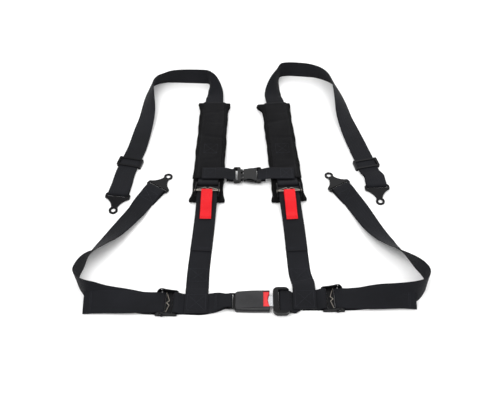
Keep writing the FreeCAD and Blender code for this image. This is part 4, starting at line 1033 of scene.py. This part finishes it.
def rows_across(thread, ribbon, places, half):
    """Rows of stitches straight across a strap."""
    for place in places:
        thread.line(upper_face(ribbon, place), (place, -half), (place, half))


def box_on(thread, ribbon, place, box):
    """A sewn box on a strap."""
    thread.box(upper_face(ribbon, place), place, *box)


def sew_lower(thread, side, lower):
    """The box at the lap belt, the box above it and the hem."""
    box_on(thread, lower, lower.near(*JUNCTIONS[side], 5), JUNCTION_BOX)
    above_x = -115.0 if side == "left" else 115.0
    box_on(thread, lower, lower.near(above_x, -310, 1), UPPER_BOX)
    rows_across(thread, lower, HEM_ROWS, HEM_HALF)


def sew_lap(thread, side, lap):
    """The hem and the box that closes the loop round the bracket."""
    rows_across(thread, lap, (14, 17), HEM_HALF)
    bracket = BRACKETS[f"{side}_lap"]
    ahead = Matrix.Rotation(math.radians(bracket["turn"]), 3, "Z") @ at(1, 0, 0)
    seam = bracket["at"] - ahead * 30
    box_on(thread, lap, lap.near(seam.x, seam.y, 9.0), BRACKET_BOX)


def sew_inner_lap(thread, inner):
    """Two rows where the left strap narrows towards the buckle."""
    spot = inner.near(-66.0, BUCKLE_Y, 9.0)
    surface = upper_face(inner, spot)
    for offset, half in ((5, 18), (8, 19)):
        thread.line(surface, (spot - offset, -half), (spot - offset, half))


def sew_chest(thread, side, chest):
    """The box on the pad, and the row between the pad and the clip."""
    box_on(thread, chest, 20, CHEST_BOX)
    rows_across(thread, chest, [chest.near(CHEST_ROW_X[side], CHEST_Y, 18)], 16)


def sew_tab(side, tab):
    """The box that closes the tab's loop, and its hem."""
    thread = Thread()
    spot = tab.near(*(standing(SHOULDER_ADJUSTERS[side]) @ at(-6, 0, TAB_PIN_Z - 1)))
    box_on(thread, tab, spot, TAB_BOX)
    rows_across(thread, tab, [tab.length - 6], 12)
    thread.finish(f"{side}_tab_stitching", MATERIALS["red_thread"], f"{side}_pull_tab")


def sew(side, ribbons):
    """Boxes, rows and hems where the straps are sewn."""
    thread = Thread()
    sew_lower(thread, side, ribbons["lower"])
    sew_lap(thread, side, ribbons["lap"])
    if side == "left":
        sew_inner_lap(thread, ribbons["inner"])
    sew_chest(thread, side, ribbons["chest"])
    shoulder = ribbons["shoulder"]
    rows_across(thread, shoulder, [shoulder.length - offset for offset in HEM_ROWS], HEM_HALF)
    thread.finish(f"{side}_stitching", MATERIALS["thread"], f"{side}_harness")
    sew_tab(side, ribbons["tab"])


# ---------------------------------------------------------------- floor, light and camera

FLOOR_REACH = 6.0
# Each area light: its name, place, size in metres and power in watts.
LIGHTS = (
    ("key", (-0.9, -0.6, 2.2), 1.8, 34.0),
    ("fill", (1.4, -1.0, 1.8), 1.6, 16.0),
    ("back", (0.3, 1.9, 1.6), 1.8, 22.0),
)
CAMERA_PLACE = (0.0, -1.0599, 1.118)
CAMERA_TILT = 41.0
CAMERA_LENS = 43.2


def pale_floor():
    mesh = bpy.data.meshes.new("floor")
    corners = [(x * FLOOR_REACH, y * FLOOR_REACH, 0) for x, y in ((-1, -1), (1, -1), (1, 1), (-1, 1))]
    mesh.from_pydata(corners, [], [(0, 1, 2, 3)])
    floor = bpy.data.objects.new("floor", mesh)
    bpy.context.scene.collection.objects.link(floor)
    nodes = Nodes("floor_paper")
    shade = nodes.noise(3.0, 2.0)
    nodes.link(nodes.ramp(shade, [(0.0, (0.93, 0.93, 0.93, 1)), (1.0, (0.96, 0.96, 0.96, 1))]),
               nodes.shader.inputs["Base Color"])
    nodes.value(Roughness=0.9, Specular_IOR_Level=0.1)
    mesh.materials.append(nodes.material)


def soft_light():
    world = bpy.data.worlds.new("studio")
    bpy.context.scene.world = world
    world.use_nodes = True
    background = world.node_tree.nodes["Background"]
    background.inputs["Color"].default_value = (1, 1, 1, 1)
    background.inputs["Strength"].default_value = 0.75
    for name, place, size, power in LIGHTS:
        light = bpy.data.lights.new(name, "AREA")
        light.size = size
        light.energy = power
        lamp = bpy.data.objects.new(name, light)
        lamp.location = place
        lamp.rotation_euler = (-Vector(place)).to_track_quat("-Z", "Y").to_euler()
        bpy.context.scene.collection.objects.link(lamp)


def front_camera():
    """A camera in front of the harness and above it, looking down near its middle."""
    lens = bpy.data.cameras.new("front_camera")
    lens.sensor_width = 36.0
    lens.lens = CAMERA_LENS
    lens.clip_start = 0.01
    camera = bpy.data.objects.new("front_camera", lens)
    camera.location = CAMERA_PLACE
    camera.rotation_euler = (math.radians(CAMERA_TILT), 0, 0)
    bpy.context.scene.collection.objects.link(camera)
    bpy.context.scene.camera = camera
    bpy.context.scene.view_settings.view_transform = "Standard"


# ---------------------------------------------------------------- the whole harness

dress_frame()
for side, seed in (("left", 1.0), ("right", 2.6)):
    ribbons = {
        "shoulder": shoulder_strap(side),
        "lower": lower_strap(side),
        "lap": lap_strap(side),
        "inner": inner_lap_strap(side),
        "chest": chest_strap(side),
        "tab": pull_tab(side),
    }
    cushion(side, seed)
    cover(side, seed + 0.7)
    sew(side, ribbons)
reshaped("buckle_upper_cover", "moulding", "left_harness",
         moulding_rule(0.0014, 0.0034, 0.07))
reshaped("buckle_lower_cover", "moulding", "left_harness", moulding_rule(0.0, 0.0, 0.05))
reshaped("release_button", "moulding", "release_button", hollow_button)
button_spring("front_button_spring")
button_spring("rear_button_spring")
pale_floor()
soft_light()
front_camera()
